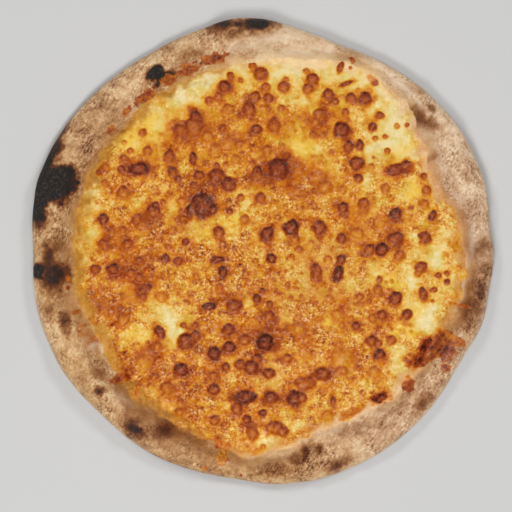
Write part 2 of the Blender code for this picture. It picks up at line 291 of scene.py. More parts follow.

# %% [markdown]
# ## The blisters in the cheese
#
# Steam lifted the melting cheese into bubbles, and their tops, nearest the fire, browned first. They
# could be scattered at random, but the eye knows this pizza by its dark ones, so those are listed one
# by one, each with its size and its tone: 0 is cream, 0.5 orange, 0.75 red-brown and 1 nearly black.

# %% Blisters listed one by one
# Round ones: x, y, radius in millimetres, and tone.
ROUND_BLISTERS = (
    (-43, 32, 10, .92), (-50, 30, 5, .99), (-41, 35, 5, .98), (-45, 27, 4.4, .97), (-36, 29, 3.6, .92),
    (1, -63.5, 6.5, .98), (-35, -71.5, 5.5, .97), (19, 16.5, 6.3, .95), (2, 12, 5.7, .93),
    (-48, 94, 4.5, .9), (-49, 87, 7.5, .76), (10.5, 58, 8.3, .9), (54, 85, 6.3, .9), (99, 60, 4, .88),
    (82, 1, 5.5, .93), (74, 1, 4.5, .84), (4.5, -102, 5.3, .9), (-54, -62.5, 6.8, .87),
    (-24.5, -67, 4.8, .95), (-9, -81, 6, .88), (-17, -79, 4, .86), (-5.5, -75, 4, .86),
    (-58, -82.7, 5.5, .93), (-25, -54.7, 4.8, .87), (-35, -96.5, 5, .9), (3.5, -85.5, 4.6, .87),
    (41, -86, 6, .86), (-27, -81, 3.3, .87), (-.5, -113, 3, .95), (-12, -117.5, 3.7, .9),
    (-19, -110, 5, .84), (-99.7, 57.3, 3.4, .88), (-64, 55.5, 3.8, .86), (-66, 66, 5.2, .8),
    (-5.3, 85.3, 4.2, .88), (-29, 86, 3, .82), (45, 110, 4.5, .87), (71, 107, 5, .9), (61, 107, 4.2, .82),
    (34, 120, 5, .82), (31, 114, 4.5, .78), (65, 61.5, 5.8, .86), (66.5, 51, 3.5, .87), (76, 87, 3.6, .9),
    (81, 95, 3, .84), (55, 30.5, 4.3, .9), (70, 33.5, 4.6, .78), (92.7, 26, 4.3, .95), (112, 33, 4, .66),
    (38.5, 16.5, 5.6, .87), (54.3, 9, 4, .87), (113, 10, 4.5, .9), (94.5, -3, 4.6, .74),
    (110, -11, 4.8, .84), (122, -17, 2.5, .82), (128, -21.5, 2.3, .87), (128, -15.6, 2, .82),
    (92, -33, 5.4, .88), (100.3, -44, 4.4, .9), (82.3, -45, 4.4, .84), (64.2, -52.4, 3.4, .87),
    (75.3, -63, 4.5, .84), (88.7, -62.3, 4, .77), (81, -72.2, 4.4, .93), (5.3, -5, 3.8, .93),
    (4, -37, 2.6, .84), (3.5, -45, 4, .82), (-4.7, -33, 3.4, .93), (-1.2, -28, 2.5, .86),
    (-21, -38, 5.4, .87), (-106, -12.7, 4.4, .9), (-118, -12.7, 4, .84), (-69, -5, 3.5, .92),
    (-60, -7, 3.5, .84), (-87, -6.3, 2.6, .85), (-93, -15.6, 4, .74), (-84.6, -32, 3, .78),
    (-31.5, 13.5, 4.3, .84), (-54.8, 6.5, 2.9, .92), (-77.6, 28, 5.6, .83), (-76, 32.5, 3, .92),
    (-112, 22.3, 4.2, .92), (-88.7, 23, 4, .77), (-85, 18, 4.6, .72), (-112, 4.8, 4.4, .78),
    (-95.7, 4.8, 4.4, .8), (-45.5, 53, 4, .86), (-33, 53, 6, .87), (-25, 47, 6, .9), (-33, 60, 2.5, .82),
    (-4.7, 52, 5.5, .8), (-4.5, 56, 4, .88), (-2.3, 37.5, 4.3, .82), (-16.3, 37.5, 3, .74),
    (-24, 27.5, 2.5, .83), (-14, 22.3, 4, .66), (-111, 59, 3, .72), (-85, 83, 3.4, .76),
    (-107, 83.5, 2.4, .7), (-97.4, 76, 2, .62), (-23.3, 123, 3, .8), (-16.3, 119.7, 2, .76),
    (-8, 130, 3.6, .74), (-2.3, 124, 5.6, .8), (-27.4, 115, 5.2, .87), (-32, 108.6, 3, .76),
    (-38.5, 105.7, 3, .73), (1, 114.5, 4, .74), (-5.8, 108.6, 4, .82), (3, 107, 4, .82),
    (-10.5, 98.7, 5.6, .8), (-25, 98.7, 5, .64), (-59, 84.7, 4.8, .8), (-59.5, 77.7, 4, .73),
    (14, 115, 4.8, .78), (12, 100, 3, .76), (50, 104.5, 3, .8), (57, 97.5, 2.6, .78), (38.5, 96, 4.8, .77),
    (36, 90.5, 4, .7), (41.4, 80.6, 2.2, .72), (84.6, 80, 2, .74), (86.3, 70, 2.4, .72), (74.7, 59, 3, .6),
    (112, 52.6, 2.5, .8), (113.7, 42.7, 3.8, .72), (54.8, 42.7, 4, .62), (85, 44, 4, .68), (22, 7.7, 4, .7),
    (24.5, 1.3, 3, .74), (65, 12.4, 5, .6), (23, -54, 5, .6), (16.3, -75, 4, .76), (-47.8, -51.8, 2.5, .83),
    (-56.6, -51.8, 2.5, .82), (-47.8, -58.8, 4, .84), (-74.7, -66.4, 4, .7), (-14, -62.3, 5, .77),
    (-84, -77.5, 5, .56), (-35.6, -87.4, 4, .77), (-67.7, -96, 5.3, .7), (-88, -95, 2.5, .72),
    (-34.4, -118.3, 4.4, .77), (-59, -112.5, 4, .66), (-32.7, -133, 3.4, .7), (4.7, -123, 4, .74),
    (8.8, -123.6, 5.6, .78), (13.4, -126.5, 4.3, .8), (-.6, -137.5, 2.6, .56), (44, -115, 5, .58),
    (77, -84.5, 5, .6), (55, -75, 8, .5), (79.3, -27.3, 4, .73), (67, -32, 3, .72), (27, -102.5, 4, .82),
    (7, 88, 6, .74), (-25, 75, 6, .6), (-20, 64, 4, .62), (45, -6, 3.5, .6), (-98, 65, 3, .76),
    (-93.6, 70.2, 2.5, .74), (-81.4, 70.2, 4, .74), (-17, 75.3, 2.5, .76), (-34, 71, 5, .62),
    (-39.8, 79.6, 5, .62), (-8.2, 62.3, 2, .8), (-98.6, 41, 5, .72), (-111.5, 48, 2.5, .72),
    (-115.8, 55, 2.4, .82), (-60, 50.8, 2.6, .88), (-49, 46, 3.4, .84), (-37, 45, 3, .8), (-57, 35, 4, .64),
    (-106.5, 14, 3, .74), (-98.6, 14.8, 3, .7), (29.8, 126.3, 2.5, .7), (15.4, 120, 2.5, .7),
    (78, 79, 2.2, .7), (76.5, 65.2, 1.2, .7), (93, 87.5, 2.6, .56), (100.3, 88.2, 1.8, .74),
    (60.7, 128.5, 1.8, .74), (34, 81, 3, .72), (42.7, 45, 6, .64), (2.4, 71, 4, .7), (103, 30.6, 1.6, .84),
    (-67, 2.4, 2.5, .74), (-87, -19, 3.6, .78), (-71.4, -32, 5, .58), (-47.7, -17, 2.5, .68),
    (-31, -25, 3, .72), (-98.6, -48, 5, .66), (-39, -55.8, 2, .72), (-94.3, -84.6, 3.2, .78),
    (-77, -88.2, 3.2, .74), (9.6, -15.5, 1.4, .78), (12.5, -19, 1.4, .76), (15.5, -14, 1.2, .76),
    (20, -12, 1.1, .74), (-3.3, -10.5, 1.3, .76), (80.9, -20, 2.5, .8), (73.7, -35, 2, .74),
    (107.5, -15.5, 3, .66), (118.3, -35, 1.2, .78), (76, -47, 4, .68), (80.5, -64, 2.6, .8),
    (36.3, -36.4, 1.6, .74), (51.4, -44.3, 5, .6), (54.5, -83, 4.6, .68), (8, -29, 1.2, .76),
    (26, -31, 1.4, .74), (17, -26, 1.1, .74), (46, -27, 1.4, .74), (-12, -20, 1.6, .74),
    (-62, -16, 1.6, .72), (70, -8, 1.6, .74),
)
# Oval ones: x, y, two radii, tilt of the first radius in degrees, and tone.
OVAL_BLISTERS = (
    (-38, -38.5, 5.6, 3.1, 0, 1), (-32.5, -6.3, 5.5, 2.6, 15, .95), (-28.6, -14.5, 3.6, 4.6, 0, .97),
    (52.3, -15, 3.9, 6, -15, 1), (54, -6, 3.4, 4, 0, .92), (92, 57, 8.5, 4.6, 20, .87),
    (-13, -102, 9.5, 5.2, 0, .93), (21.5, -103, 5.8, 6.8, 0, .92), (-73, -56.5, 5.2, 3.8, -50, .93),
    (-87.5, 57.3, 8, 5, -5, .92), (-49.6, 65, 2.6, 5.6, 0, .93), (59, 73, 3.6, 5, -10, .86),
    (67, 73.6, 3.1, 4.6, 0, .9), (117.8, 25, 2.6, 4.8, -30, .94), (92, 9, 6.8, 4.8, 0, .85),
    (111.4, -29.6, 3.4, 5.4, 15, .88), (119, -27.3, 3.2, 2.1, 0, .84), (36.5, -14.5, 4.6, 7.2, 5, .82),
    (-83, -26, 5, 3, 20, .86), (53.7, 129, 2.6, 5, -25, .83), (-8, -127.6, 4.8, 5.8, 0, .74),
    (48.4, -105, 2.1, 4, 0, .85), (60, -113, 9, 3, 22, .6), (28.6, -92.6, 8.6, 5, 0, .74),
    (57, 117, 5.5, 1.6, 20, .9), (22, 41.4, 8, 4, -20, .64),
)
blister_list = [(x, y, radius, radius, 0.0, tone) for x, y, radius, tone in ROUND_BLISTERS]
blister_list += list(OVAL_BLISTERS)
print(len(blister_list), "blisters placed by hand")

# %% [markdown]
# Some cheese ran or spat onto the rim, where it burnt, and some of that lies over the cheese's own edge.
# Both layers read these splashes, so that one that crosses the line goes on from one layer to the other.

# %% Burnt splashes along the rim
# Burnt cheese on the rim: angle, radius, reach along the rim and across it in millimetres, tone as for the
# blisters, and how solid it is.
SPLASHES = (
    (331, 139, 10, 9, .67, .9), (325, 131, 9, 7, .64, .85), (335, 148, 4, 8, .64, 1),
    (335.4, 139, 4, 8, .60, 1), (331.6, 143, 7, 8, .84, 1.3), (333.4, 137.6, 5.6, 5.6, .80, 1.2),
    (329.4, 146.4, 4.8, 3.4, .76, 1), (327.2, 150, 3.4, 4.6, .72, 1), (329.4, 131.6, 7.6, 6, .88, 1.3),
    (324.6, 133, 8, 6, .84, 1.3), (329, 131, 3, 2.6, .98, 1), (325, 133.6, 3.4, 2.4, .94, 1),
    (332, 144, 3.2, 2.4, .92, 1), (322.6, 128, 3.6, 6, .74, 1), (327.4, 138.4, 5, 3.6, .80, .6),
    (317, 138, 5.4, 4.6, .82, 1.2), (318.6, 135, 3, 4, .70, .9), (308.5, 131, 7.6, 4.6, .92, 1.3),
    (308.5, 131, 10, 6.6, .68, .7), (299.5, 129.4, 9.5, 2.8, .56, .9), (295, 129.6, 4, 2, .6, .8),
    (344.6, 142, 1.5, 9, .7, .8), (104.6, 139.3, 3, 2.4, .9, 1), (105, 138.6, 10, 5, .72, .75),
    (103, 138.4, 2.4, 1.8, .88, 1), (112.6, 137, 10, 4.6, .72, .7), (119, 137, 8, 4, .74, .7),
    (112, 136, 1.8, 1.3, .88, 1), (108.6, 138, 1.8, 1.3, .9, 1), (115, 138, 2, 1.2, .86, 1),
    (110, 140, 3, 1.4, .82, .9), (106.4, 136.6, 2.4, 1.2, .86, .9), (101, 139.6, 3, 1.8, .8, .8),
    (127.6, 136.2, 10, 4.4, .74, .75), (134.6, 136.6, 6, 3, .68, .6), (126.6, 136.4, 2.6, 1.8, .92, 1),
    (131, 136, 1.6, 1.4, .88, 1), (128.6, 137.8, 1.8, 1.2, .9, 1), (124, 138, 2, 1.2, .88, .9),
    (133, 138, 2.4, 1, .84, .8), (141.5, 137, 5, 2.4, .68, .7), (198, 138, 2, 4.2, .72, .9),
    (205, 139, 11, 7, .60, .45), (207.5, 133, 4, 5, .58, .5), (202.6, 137, 2, 3, .68, .6),
    (221.4, 135.4, 4, 6, .78, .95), (222.6, 130.4, 4.6, 3, .84, 1), (228.2, 133.4, 3, 2.6, .66, .8),
    (190.6, 139.6, 2.2, 2, .8, .9), (188, 138.4, 4, 2, .66, .7), (258.6, 147, 4.6, 7, .5, .8),
    (257, 139.4, 4, 4, .62, .8), (259.6, 140, 2.6, 4, .58, .7), (254.6, 157, 2.6, 2.6, .58, .7),
    (264, 157, 1.8, 1.6, .78, .9), (58.2, 142.4, 5, 3.4, .72, .8), (56.4, 142, 2.6, 3, .86, .9),
    (65, 146.6, 3, 2.2, .66, .8), (283, 129, 8, 2.4, .5, .6),
)
SPLASH_HEIGHT = 1.0 * MM
SPLASH_LEAST_TONE = 0.64
SPLASH_EDGE_START = 0.5
SPLASH_EDGE_WIDTH = 0.7
SPLASH_EDGE_LIGHTER = 0.10


def splash_values(x, y):
    """How far burnt cheese covers each point, from 0 to 1, and how dark it is there."""
    cover = np.zeros(len(x))
    tone = np.full(len(x), SPLASH_LEAST_TONE)
    ragged = layered(x, y, (0.22, 4.4, 31.0), (0.10, 1.8, 33.0))
    for angle, radius, long_reach, cross_reach, dark, solid in SPLASHES:
        share = along_rim(x, y, angle, radius, long_reach, cross_reach) * (1.0 + ragged)
        here = np.minimum(solid * (1.0 - smooth_rise((share - SPLASH_EDGE_START) / SPLASH_EDGE_WIDTH)), 1.0)
        pull = np.where(dark > tone, here, np.maximum(here - cover, 0.0))
        tone = tone + (dark - SPLASH_EDGE_LIGHTER * smooth_rise(share) - tone) * pull
        cover = np.maximum(cover, here)
    return cover, tone + layered(x, y, (0.07, 3.4, 37.0), (0.08, 1.7, 35.0))


# %% [markdown]
# Between the blisters the cheese is cream where it stayed wet and orange where a skin dried on it. These
# zones are soft patches with a middle, a reach and a strength: below zero they pale the cheese, above it
# they brown it. Noise bends them afterwards, so none of them shows as a round.

# %% Pale and orange zones
# x, y, reach in millimetres, and change of the tone that bare cheese has without them.
ZONES = (
    (93, 84, 20, -.12), (60, 120, 18, -.10), (20, 121, 14, -.06), (-42, 46, 8, .10), (-8, 116, 8, -.22),
    (50, 108, 8, -.14), (-64, 26, 7, -.26), (-72, 64, 6, -.16), (-46, 74, 6, -.14), (-105, 30, 7, -.14),
    (-120, -25, 7, -.14), (-88, -45, 7, -.16), (22, 95, 7, -.10), (8, 8, 8, -.08), (120, -56, 6, -.20),
    (60, 88, 6, -.12), (100, 62, 6, -.10), (-40, 40, 10, .14), (-40, 0, 8, .14), (-22, -4, 12, .12),
    (-40, -42, 7, .14), (-8, -58, 9, .20), (-40, -72, 7, .12), (-15, -36, 6, .10), (0, -28, 6, .10),
    (-14, -88, 7, .12), (14, -88, 9, .12), (-26, -122, 7, .16), (50, -14, 10, .12), (20, 22, 7, .12),
    (55, -76, 6, .14), (84, -46, 10, .10), (100, 50, 6, .12), (-50, 50, 8, .12), (-110, 58, 6, .10),
    (-84, 72, 5, .10), (-75, 92, 13, -.30), (-60, 108, 11, -.34), (-45, 117, 11, -.34),
    (-33, 125, 10, -.34), (-15, 130, 10, -.34), (10, 125, 10, -.34), (24, 126, 8, -.28), (41, 126, 9, -.34),
    (62, 126, 10, -.26), (72, 117, 8, -.18), (-97, 78, 10, -.24), (-85, 74, 7, -.22), (-60, 61, 4, -.22),
    (-85, 36, 8, -.20), (-121, 30, 8, -.34), (-122, 10, 7, -.32), (-124, 46, 7, -.30), (-127, -6, 6, -.30),
    (-14, 30, 7, -.30), (-38, 15, 9, -.20), (-24, 15, 6, -.28), (-50, 11, 7, -.18), (-68, -45, 14, -.46),
    (-61, -53, 6, -.34), (-65, -61, 5, -.30), (-100, -62, 7, -.34), (-88, -59, 6, -.26),
    (-61, -73, 4, -.30), (-64, -113, 7, -.26), (-80, -105, 6, -.18), (-38, -45, 4, -.12),
    (-8, -40, 6, -.22), (12, -88, 5, -.24), (8, -94, 4, -.24), (-27, -106, 4, -.26), (25, -120, 7, -.24),
    (-24, -123, 5, -.08), (0, -134, 8, -.36), (112, -45, 12, -.44), (104, -38, 7, -.30),
    (112, -56, 7, -.12), (95, -80, 8, -.36), (92, -68, 6, -.26), (70, -91, 4, -.28), (117, -7, 8, -.40),
    (125, -28, 6, -.20), (132, -18, 6, -.34), (103, -18, 9, -.30), (121, 4, 7, -.20), (80, -12, 6, -.22),
    (106, 7, 5, -.26), (96, 74, 9, -.32), (91, 84, 9, -.28), (79, 76, 8, -.30), (75, 66, 5, -.26),
    (94, 96, 9, -.26), (84, 106, 8, -.38), (100, 45, 6, -.22), (73, 46, 5, -.22), (104, 64, 5, -.26),
    (27, 76, 7, -.26), (34, 68, 6, -.24), (45, 62, 5, -.20), (38, 104, 5, -.24), (28, 107, 5, -.24),
    (18, 110, 6, -.12), (28, -22, 9, -.12), (58, -24, 9, -.10), (45, -50, 6, -.24), (60, -56, 4, -.08),
    (15, -46, 5, -.20), (128, 12, 7, -.08), (-30, 78, 14, .14), (-10, 75, 12, .12), (25, 90, 10, .12),
    (36, 56, 15, .13), (20, 45, 12, .12), (32, 38, 13, .14), (60, 20, 13, .12), (76, 15, 10, .14),
    (-63, 86, 8, .10), (-65, 75, 8, .06), (-100, 45, 12, .12), (-80, 22, 14, .13), (-105, 10, 10, .12),
    (-60, 22, 10, .10), (-72, 9, 11, .14), (-112, -33, 11, .22), (-82, -13, 14, .20), (-97, -8, 9, .14),
    (-99, -45, 9, .16), (-80, -72, 12, .20), (-78, -86, 7, .18), (-54, -103, 12, .18), (-105, -71, 8, .18),
    (10, -55, 12, .20), (25, -51, 10, .14), (55, -43, 13, .14), (40, -47, 9, .12), (55, -75, 13, .12),
    (30, -64, 12, .12), (-50, -90, 8, .10), (15, 56, 12, .14), (86, 18, 10, .14), (98, 52, 6, .18),
    (-12, 100, 12, .14), (40, 95, 9, .14), (-28, -34, 10, .10), (-26, -142, 6, .10), (60, 55, 48, -.08),
    (0, 95, 36, -.05), (100, 5, 36, -.06), (-70, -70, 40, .06), (-95, -85, 16, .10), (-60, -118, 14, .10),
    (-118, -40, 12, .08), (-42, 4, 10, .08), (-20, -18, 12, .10), (-42, -44, 12, .12), (-78, -38, 10, .10),
    (4, -26, 10, .08), (22, -30, 12, .08), (-48, 20, 8, .08), (-30, -94, 6, .10), (60, 46, 8, .10),
    (48, 60, 6, .08), (100, 12, 6, .08), (88, -10, 8, .08), (0, 114, 8, -.14), (62, 108, 9, -.12),
    (16, 54, 9, -.10), (-60, 23, 6, -.12), (88, 14, 7, -.10), (76, 3, 6, -.08), (0, -118, 16, .05),
    (84, -84, 18, .05), (-30, 20, 14, .06), (-68, -58, 9, .06), (-90, -50, 8, .06),
)
BASE_TONE = 0.43
print(len(ZONES), "zones")

# %% [markdown]
# The room between the large blisters is full of small ones, too many to place. They are drawn at random
# from a fixed seed, and kept off each other and off the large ones.

# %% Small blisters by the hundred
SMALL_KINDS = (
    # how many, least and largest radius in millimetres, how much browner than the cheese round it
    (150, 2.6, 4.4, 0.17),
    (240, 1.5, 2.6, 0.18),
    (200, 0.9, 1.5, 0.14),
)
MOST_DRAWS = 60000
SMALL_SEED = 33
LINE_CLEARANCE = 6.0
CELL_SIZE = 4.0
NEIGHBOURS = [(a, b) for a in (-1, 0, 1) for b in (-1, 0, 1)]
small_draw = random.Random(SMALL_SEED)


def cell_of(x, y):
    """The column and the row of the square that a place is in, to look only at what lies near it."""
    return int(x // CELL_SIZE), int(y // CELL_SIZE)


taken = {}
for x, y, long_radius, short_radius, tilt, tone in blister_list:
    largest = max(long_radius, short_radius)
    reach = int(largest // CELL_SIZE) + 1
    column, row = cell_of(x, y)
    for step_x in range(-reach, reach + 1):
        for step_y in range(-reach, reach + 1):
            taken.setdefault((column + step_x, row + step_y), []).append((x, y, largest))
small_blisters = []
for count, least, largest, browner in SMALL_KINDS:
    made = 0
    for _ in range(MOST_DRAWS):
        if made == count:
            break
        angle = small_draw.uniform(0.0, 360.0)
        radius = small_draw.uniform(least, largest)
        distance = (read_ring(cheese_ring, angle) / MM - LINE_CLEARANCE) * math.sqrt(small_draw.random())
        x = distance * math.cos(math.radians(angle))
        y = distance * math.sin(math.radians(angle))
        column, row = cell_of(x, y)
        near = [other for a, b in NEIGHBOURS for other in taken.get((column + a, row + b), ())]
        if all(math.hypot(x - other[0], y - other[1]) > radius + other[2] for other in near):
            taken.setdefault((column, row), []).append((x, y, radius))
            small_blisters.append((x, y, radius, browner))
            made += 1
    print(made, "blisters of", least, "to", largest, "mm")

# %% [markdown]
# ## The cheese as a dense mesh
#
# A triangular grid with points less than a millimetre apart is fine enough for the smallest blister. Each
# point gets its height and its tone. The grid runs on past the cheese line and dips into the dough there,
# so that the edge that shows is where the two surfaces really meet, and the sides and bottom close it
# inside the dough.

# %% A triangular grid over the cheese
GRID_STEP = 0.86 * MM
GRID_OVERRUN = 3.6 * MM

row_step = GRID_STEP * math.sqrt(0.75)
row_count = int(cheese_ring.max() / row_step) + 4
column_count = int(cheese_ring.max() / GRID_STEP) + 4
rows, columns = np.mgrid[-row_count:row_count + 1, -column_count:column_count + 1]
grid_x = (columns + 0.5 * (rows % 2)) * GRID_STEP
grid_y = rows * row_step
grid_angle = np.degrees(np.arctan2(grid_y, grid_x)) % 360.0
inside = np.hypot(grid_x, grid_y) < read_ring(cheese_edge_ring, grid_angle) + GRID_OVERRUN


def grid_triangles(inside, odd_rows):
    """The triangles of a triangular grid whose three corners are all inside."""
    number = np.full(inside.shape, -1)
    number[inside] = np.arange(inside.sum())
    here, right = number[:-1, :-1], number[:-1, 1:]
    above, above_right = number[1:, :-1], number[1:, 1:]
    odd = odd_rows[:-1, :-1]
    first = np.stack([here, right, np.where(odd, above_right, above)], axis=-1)
    second = np.stack([np.where(odd, here, right), above_right, above], axis=-1)
    triangles = np.concatenate([first.reshape(-1, 3), second.reshape(-1, 3)])
    return triangles[(triangles >= 0).all(axis=1)]


top_triangles = grid_triangles(inside, rows % 2 == 1)
top_x, top_y = grid_x[inside], grid_y[inside]
top_angle = grid_angle[inside]
top_radius = np.hypot(top_x, top_y)
print(len(top_x), "points and", len(top_triangles), "triangles on top of the cheese")

# %% The tone of the bare cheese
# How the zones are bent: size of the noise, and how far it moves things.
ZONE_BEND = ((14 * MM, 4.0 * MM), (5 * MM, 1.8 * MM))
PALEST_BARE = 0.03
BROWNEST_BARE = 0.62


def bent(x, y):
    """Places moved about by noise, so that what is read there gets a ragged edge."""
    for size, reach in ZONE_BEND:
        x, y = x + reach * uneven(x, y, size, 11.0), y + reach * uneven(x, y, size, 23.0)
    return x, y


bent_x, bent_y = bent(top_x, top_y)
zone_tone = np.full(len(top_x), BASE_TONE)
for x, y, reach, change in ZONES:
    zone_tone += change * bell(bent_x, bent_y, x, y, reach)
zone_tone += layered(top_x, top_y, (0.07, 9, 3.0), (0.05, 3.5, 5.0))
zone_tone = np.clip(zone_tone, PALEST_BARE, BROWNEST_BARE)
print("bare cheese tone", zone_tone.min().round(2), "to", zone_tone.max().round(2))

# %% [markdown]
# More values tell what the cheese is like where its tone is the same. Most of it is froth: tiny bubbles
# that dried to a grainy skin, with pale dots painted on it as glints. In places the skin stayed smooth
# instead, in some it is duller and more olive, and in others clear yellow fat came out.

# %% Smooth skins and clear fat
# x, y and reach in millimetres.
SMOOTH_ZONES = (
    (30, 92, 22), (36, 58, 15), (-95, -28, 16), (-62, 22, 11), (-104, 10, 10), (6, -56, 20), (52, -45, 12),
    (70, 8, 14), (92, 22, 10), (12, 58, 16), (-48, 88, 14), (-88, 57, 10), (-80, 26, 9), (-98, -12, 12),
    (-75, 86, 20), (-45, 114, 20), (-10, 124, 16), (70, 112, 22), (110, -45, 13), (-122, 12, 13),
    (60, 20, 10), (-78, -72, 10), (-62, -104, 12), (-14, 82, 10), (96, 76, 14), (120, 0, 12), (52, -76, 8),
    (0, -134, 9),
)
OLIVE_ZONES = (
    (30, -22, 20), (12, -44, 11), (-22, -24, 13), (-50, 18, 11), (6, -90, 9), (-66, -84, 8), (-108, 58, 9),
    (-112, -48, 8), (-40, -45, 7), (62, -25, 10), (76, 60, 7), (48, 2, 9),
)
FAT_ZONES = (
    (-94, 78, 9), (-80, 88, 6), (-97, 89, 6), (-76, 44, 5), (-42, 13, 6), (-91, -59, 7), (-6, -39, 5),
    (-38, -94, 5), (111, -39, 5), (90, -21, 7), (18, -74, 5), (97, -55, 6), (44, -49, 6), (15, -48, 6),
    (99, 72, 7), (104, 44, 5), (27, 75, 8), (62, -24, 6), (-106, 60, 6), (52, 97, 5), (-20, 20, 5),
)


def zone_values(x, y, zones):
    """How far each point lies in any of the zones, from 0 to 1."""
    outside = np.ones(len(x))
    for middle_x, middle_y, reach in zones:
        outside *= 1.0 - bell(x, y, middle_x, middle_y, reach)
    return 1.0 - outside


smooth_skin = zone_values(bent_x, bent_y, SMOOTH_ZONES)
print("smooth skin covers", round(100 * float((smooth_skin > 0.5).mean())), "% of the cheese")

# %% [markdown]
# A blister is a low dome. Its tone has painted shade on the side away from the window and is paler on top,
# partly skin that wore thin and partly a painted highlight, and it browns the cheese round it in a soft
# ring. The largest are smoother and more even in colour. Small ones only shift the tone of the cheese:
# browner round the side, with painted shade on the far side, and pale in the middle, partly where the skin
# burst and partly a painted highlight.

# %% The blisters as height and tone
BLISTER_HEIGHT_SHARE = 0.40
BLISTER_MOST_HEIGHT = 3.0 * MM
DOME_POWER = 1.1
HALO = 0.24
HALO_FROM_TONE = 0.55
# Painted shade on the side of a blister away from the window, and a paler middle that is partly wear and
# partly a painted highlight.
PAINTED_FAR_SHADE = 0.13
MIDDLE_WEAR_AND_SHEEN = 0.17
LARGE_BLISTER = 5.0 * MM
COVER_START = 0.70
COVER_WIDTH = 0.50
NEAR_SIDE_SOFTER = 0.22
MIDDLE_REACH = 0.55
RING_REACH = 0.7
HALO_RANGE = 0.45
GLAZE_RANGE = 0.2
CROWN_MIDDLE = 0.05
CROWN_REACH = 0.42
SMALL_HEIGHT_SHARE = 0.7
BROWNEST_BETWEEN = 0.74
DARKEST_TONE = 0.97


def points_near(x, y, reach):
    """The numbers of the cheese's points in a square round a place."""
    return np.flatnonzero((abs(top_x - x * MM) < reach) & (abs(top_y - y * MM) < reach))


blister_height = np.zeros(len(top_x))
blister_tone = np.zeros(len(top_x))
blister_cover = np.zeros(len(top_x))
blister_crown = np.zeros(len(top_x))
glaze = np.zeros(len(top_x))
ragged = layered(top_x, top_y, (0.15, 4.6, 7.0), (0.05, 2.0, 8.0))
mottle = uneven(top_x, top_y, 2.3 * MM, 9.0)
halo_noise = uneven(top_x, top_y, 9.0 * MM, 19.0)
for x, y, long_radius, short_radius, tilt, tone in blister_list:
    largest = max(long_radius, short_radius) * MM
    near = points_near(x, y, 2.2 * largest)
    small_share = min(1.0, LARGE_BLISTER / largest)
    share = oval_share(top_x[near], top_y[near], x * MM, y * MM, long_radius * MM, short_radius * MM, tilt)
    share = share * (1.0 + ragged[near] * small_share)
    height = min(BLISTER_HEIGHT_SHARE * min(long_radius, short_radius) * MM, BLISTER_MOST_HEIGHT)
    dome = height * np.maximum(1.0 - share ** 2, 0.0) ** DOME_POWER
    blister_height[near] = np.maximum(blister_height[near], dome)
    # Painted shade: the tone is darker, with a sharper edge, on the side away from the window; the middle is
    # paler, partly wear and partly a painted highlight.
    far_side = np.clip((top_y[near] - y * MM) / largest, -1.0, 1.0)
    cover = 1.0 - smooth_rise((share - COVER_START) / (COVER_WIDTH - NEAR_SIDE_SOFTER * far_side))
    painted_far_shade = PAINTED_FAR_SHADE * far_side * small_share
    middle_wear_and_sheen = MIDDLE_WEAR_AND_SHEEN * small_share * np.exp(-(share / MIDDLE_REACH) ** 2)
    shaded = 0.99 * tone + painted_far_shade - middle_wear_and_sheen
    stronger = cover > blister_cover[near]
    blister_tone[near] = np.where(stronger, shaded, blister_tone[near])
    blister_cover[near] = np.maximum(blister_cover[near], cover)
    crown = np.exp(-((share - CROWN_MIDDLE) / CROWN_REACH) ** 2)
    blister_crown[near] = np.where(stronger, crown, blister_crown[near])
    browner = max(tone - HALO_FROM_TONE, 0.0)
    halo = HALO * browner / HALO_RANGE * (0.4 + 1.0 * smooth_skin[near] + 0.8 * halo_noise[near])
    ring_here = np.exp(-((share - 1.0) / RING_REACH) ** 2)
    zone_tone[near] += halo * ring_here
    glaze[near] = np.maximum(glaze[near], min(browner / GLAZE_RANGE, 1.0) * ring_here)
for x, y, radius, browner in small_blisters:
    near = points_near(x, y, 1.5 * radius * MM)
    share = np.hypot(top_x[near] - x * MM, top_y[near] - y * MM) / (radius * MM) * (1.0 + ragged[near])
    dome = SMALL_HEIGHT_SHARE * BLISTER_HEIGHT_SHARE * radius * MM * np.maximum(1.0 - share ** 2, 0.0)
    blister_height[near] = np.maximum(blister_height[near], dome)
    drier = smooth_rise((zone_tone[near] - 0.15) / 0.25)
    strength = browner * (0.4 + drier) * (1.0 - 0.6 * smooth_skin[near])
    # Painted shade: each small blister is browner on its side away from the window, and its pale middle is
    # partly a burst skin and partly a painted highlight.
    far_side = (top_y[near] - y * MM) / (radius * MM)
    popped_and_sheen = 0.35 + 0.65 * float(abs(math.sin(37.0 * x)))
    zone_tone[near] += strength * (1.0 + 0.4 * far_side) * np.exp(-(share / 0.9) ** 4)
    zone_tone[near] -= popped_and_sheen * strength * np.exp(-(share / 0.5) ** 2)
zone_tone = np.minimum(zone_tone, BROWNEST_BETWEEN)
cheese_tone = zone_tone * (1.0 - blister_cover) + (blister_tone + 0.05 * mottle) * blister_cover
top_splash_cover, top_splash_tone = splash_values(top_x, top_y)
cheese_tone = cheese_tone * (1.0 - top_splash_cover) + top_splash_tone * top_splash_cover
cheese_tone = np.clip(cheese_tone, 0.0, DARKEST_TONE)
print("blisters cover", round(100 * float((blister_cover > 0.5).mean())), "% of the cheese")

# %% Froth and fat on the points
USUAL_FROTH = 0.85
FROTH_SWING = 0.55
FROTH_LOST_ON_SKIN = 1.1
FROTH_LOST_ON_BLISTERS = 0.75

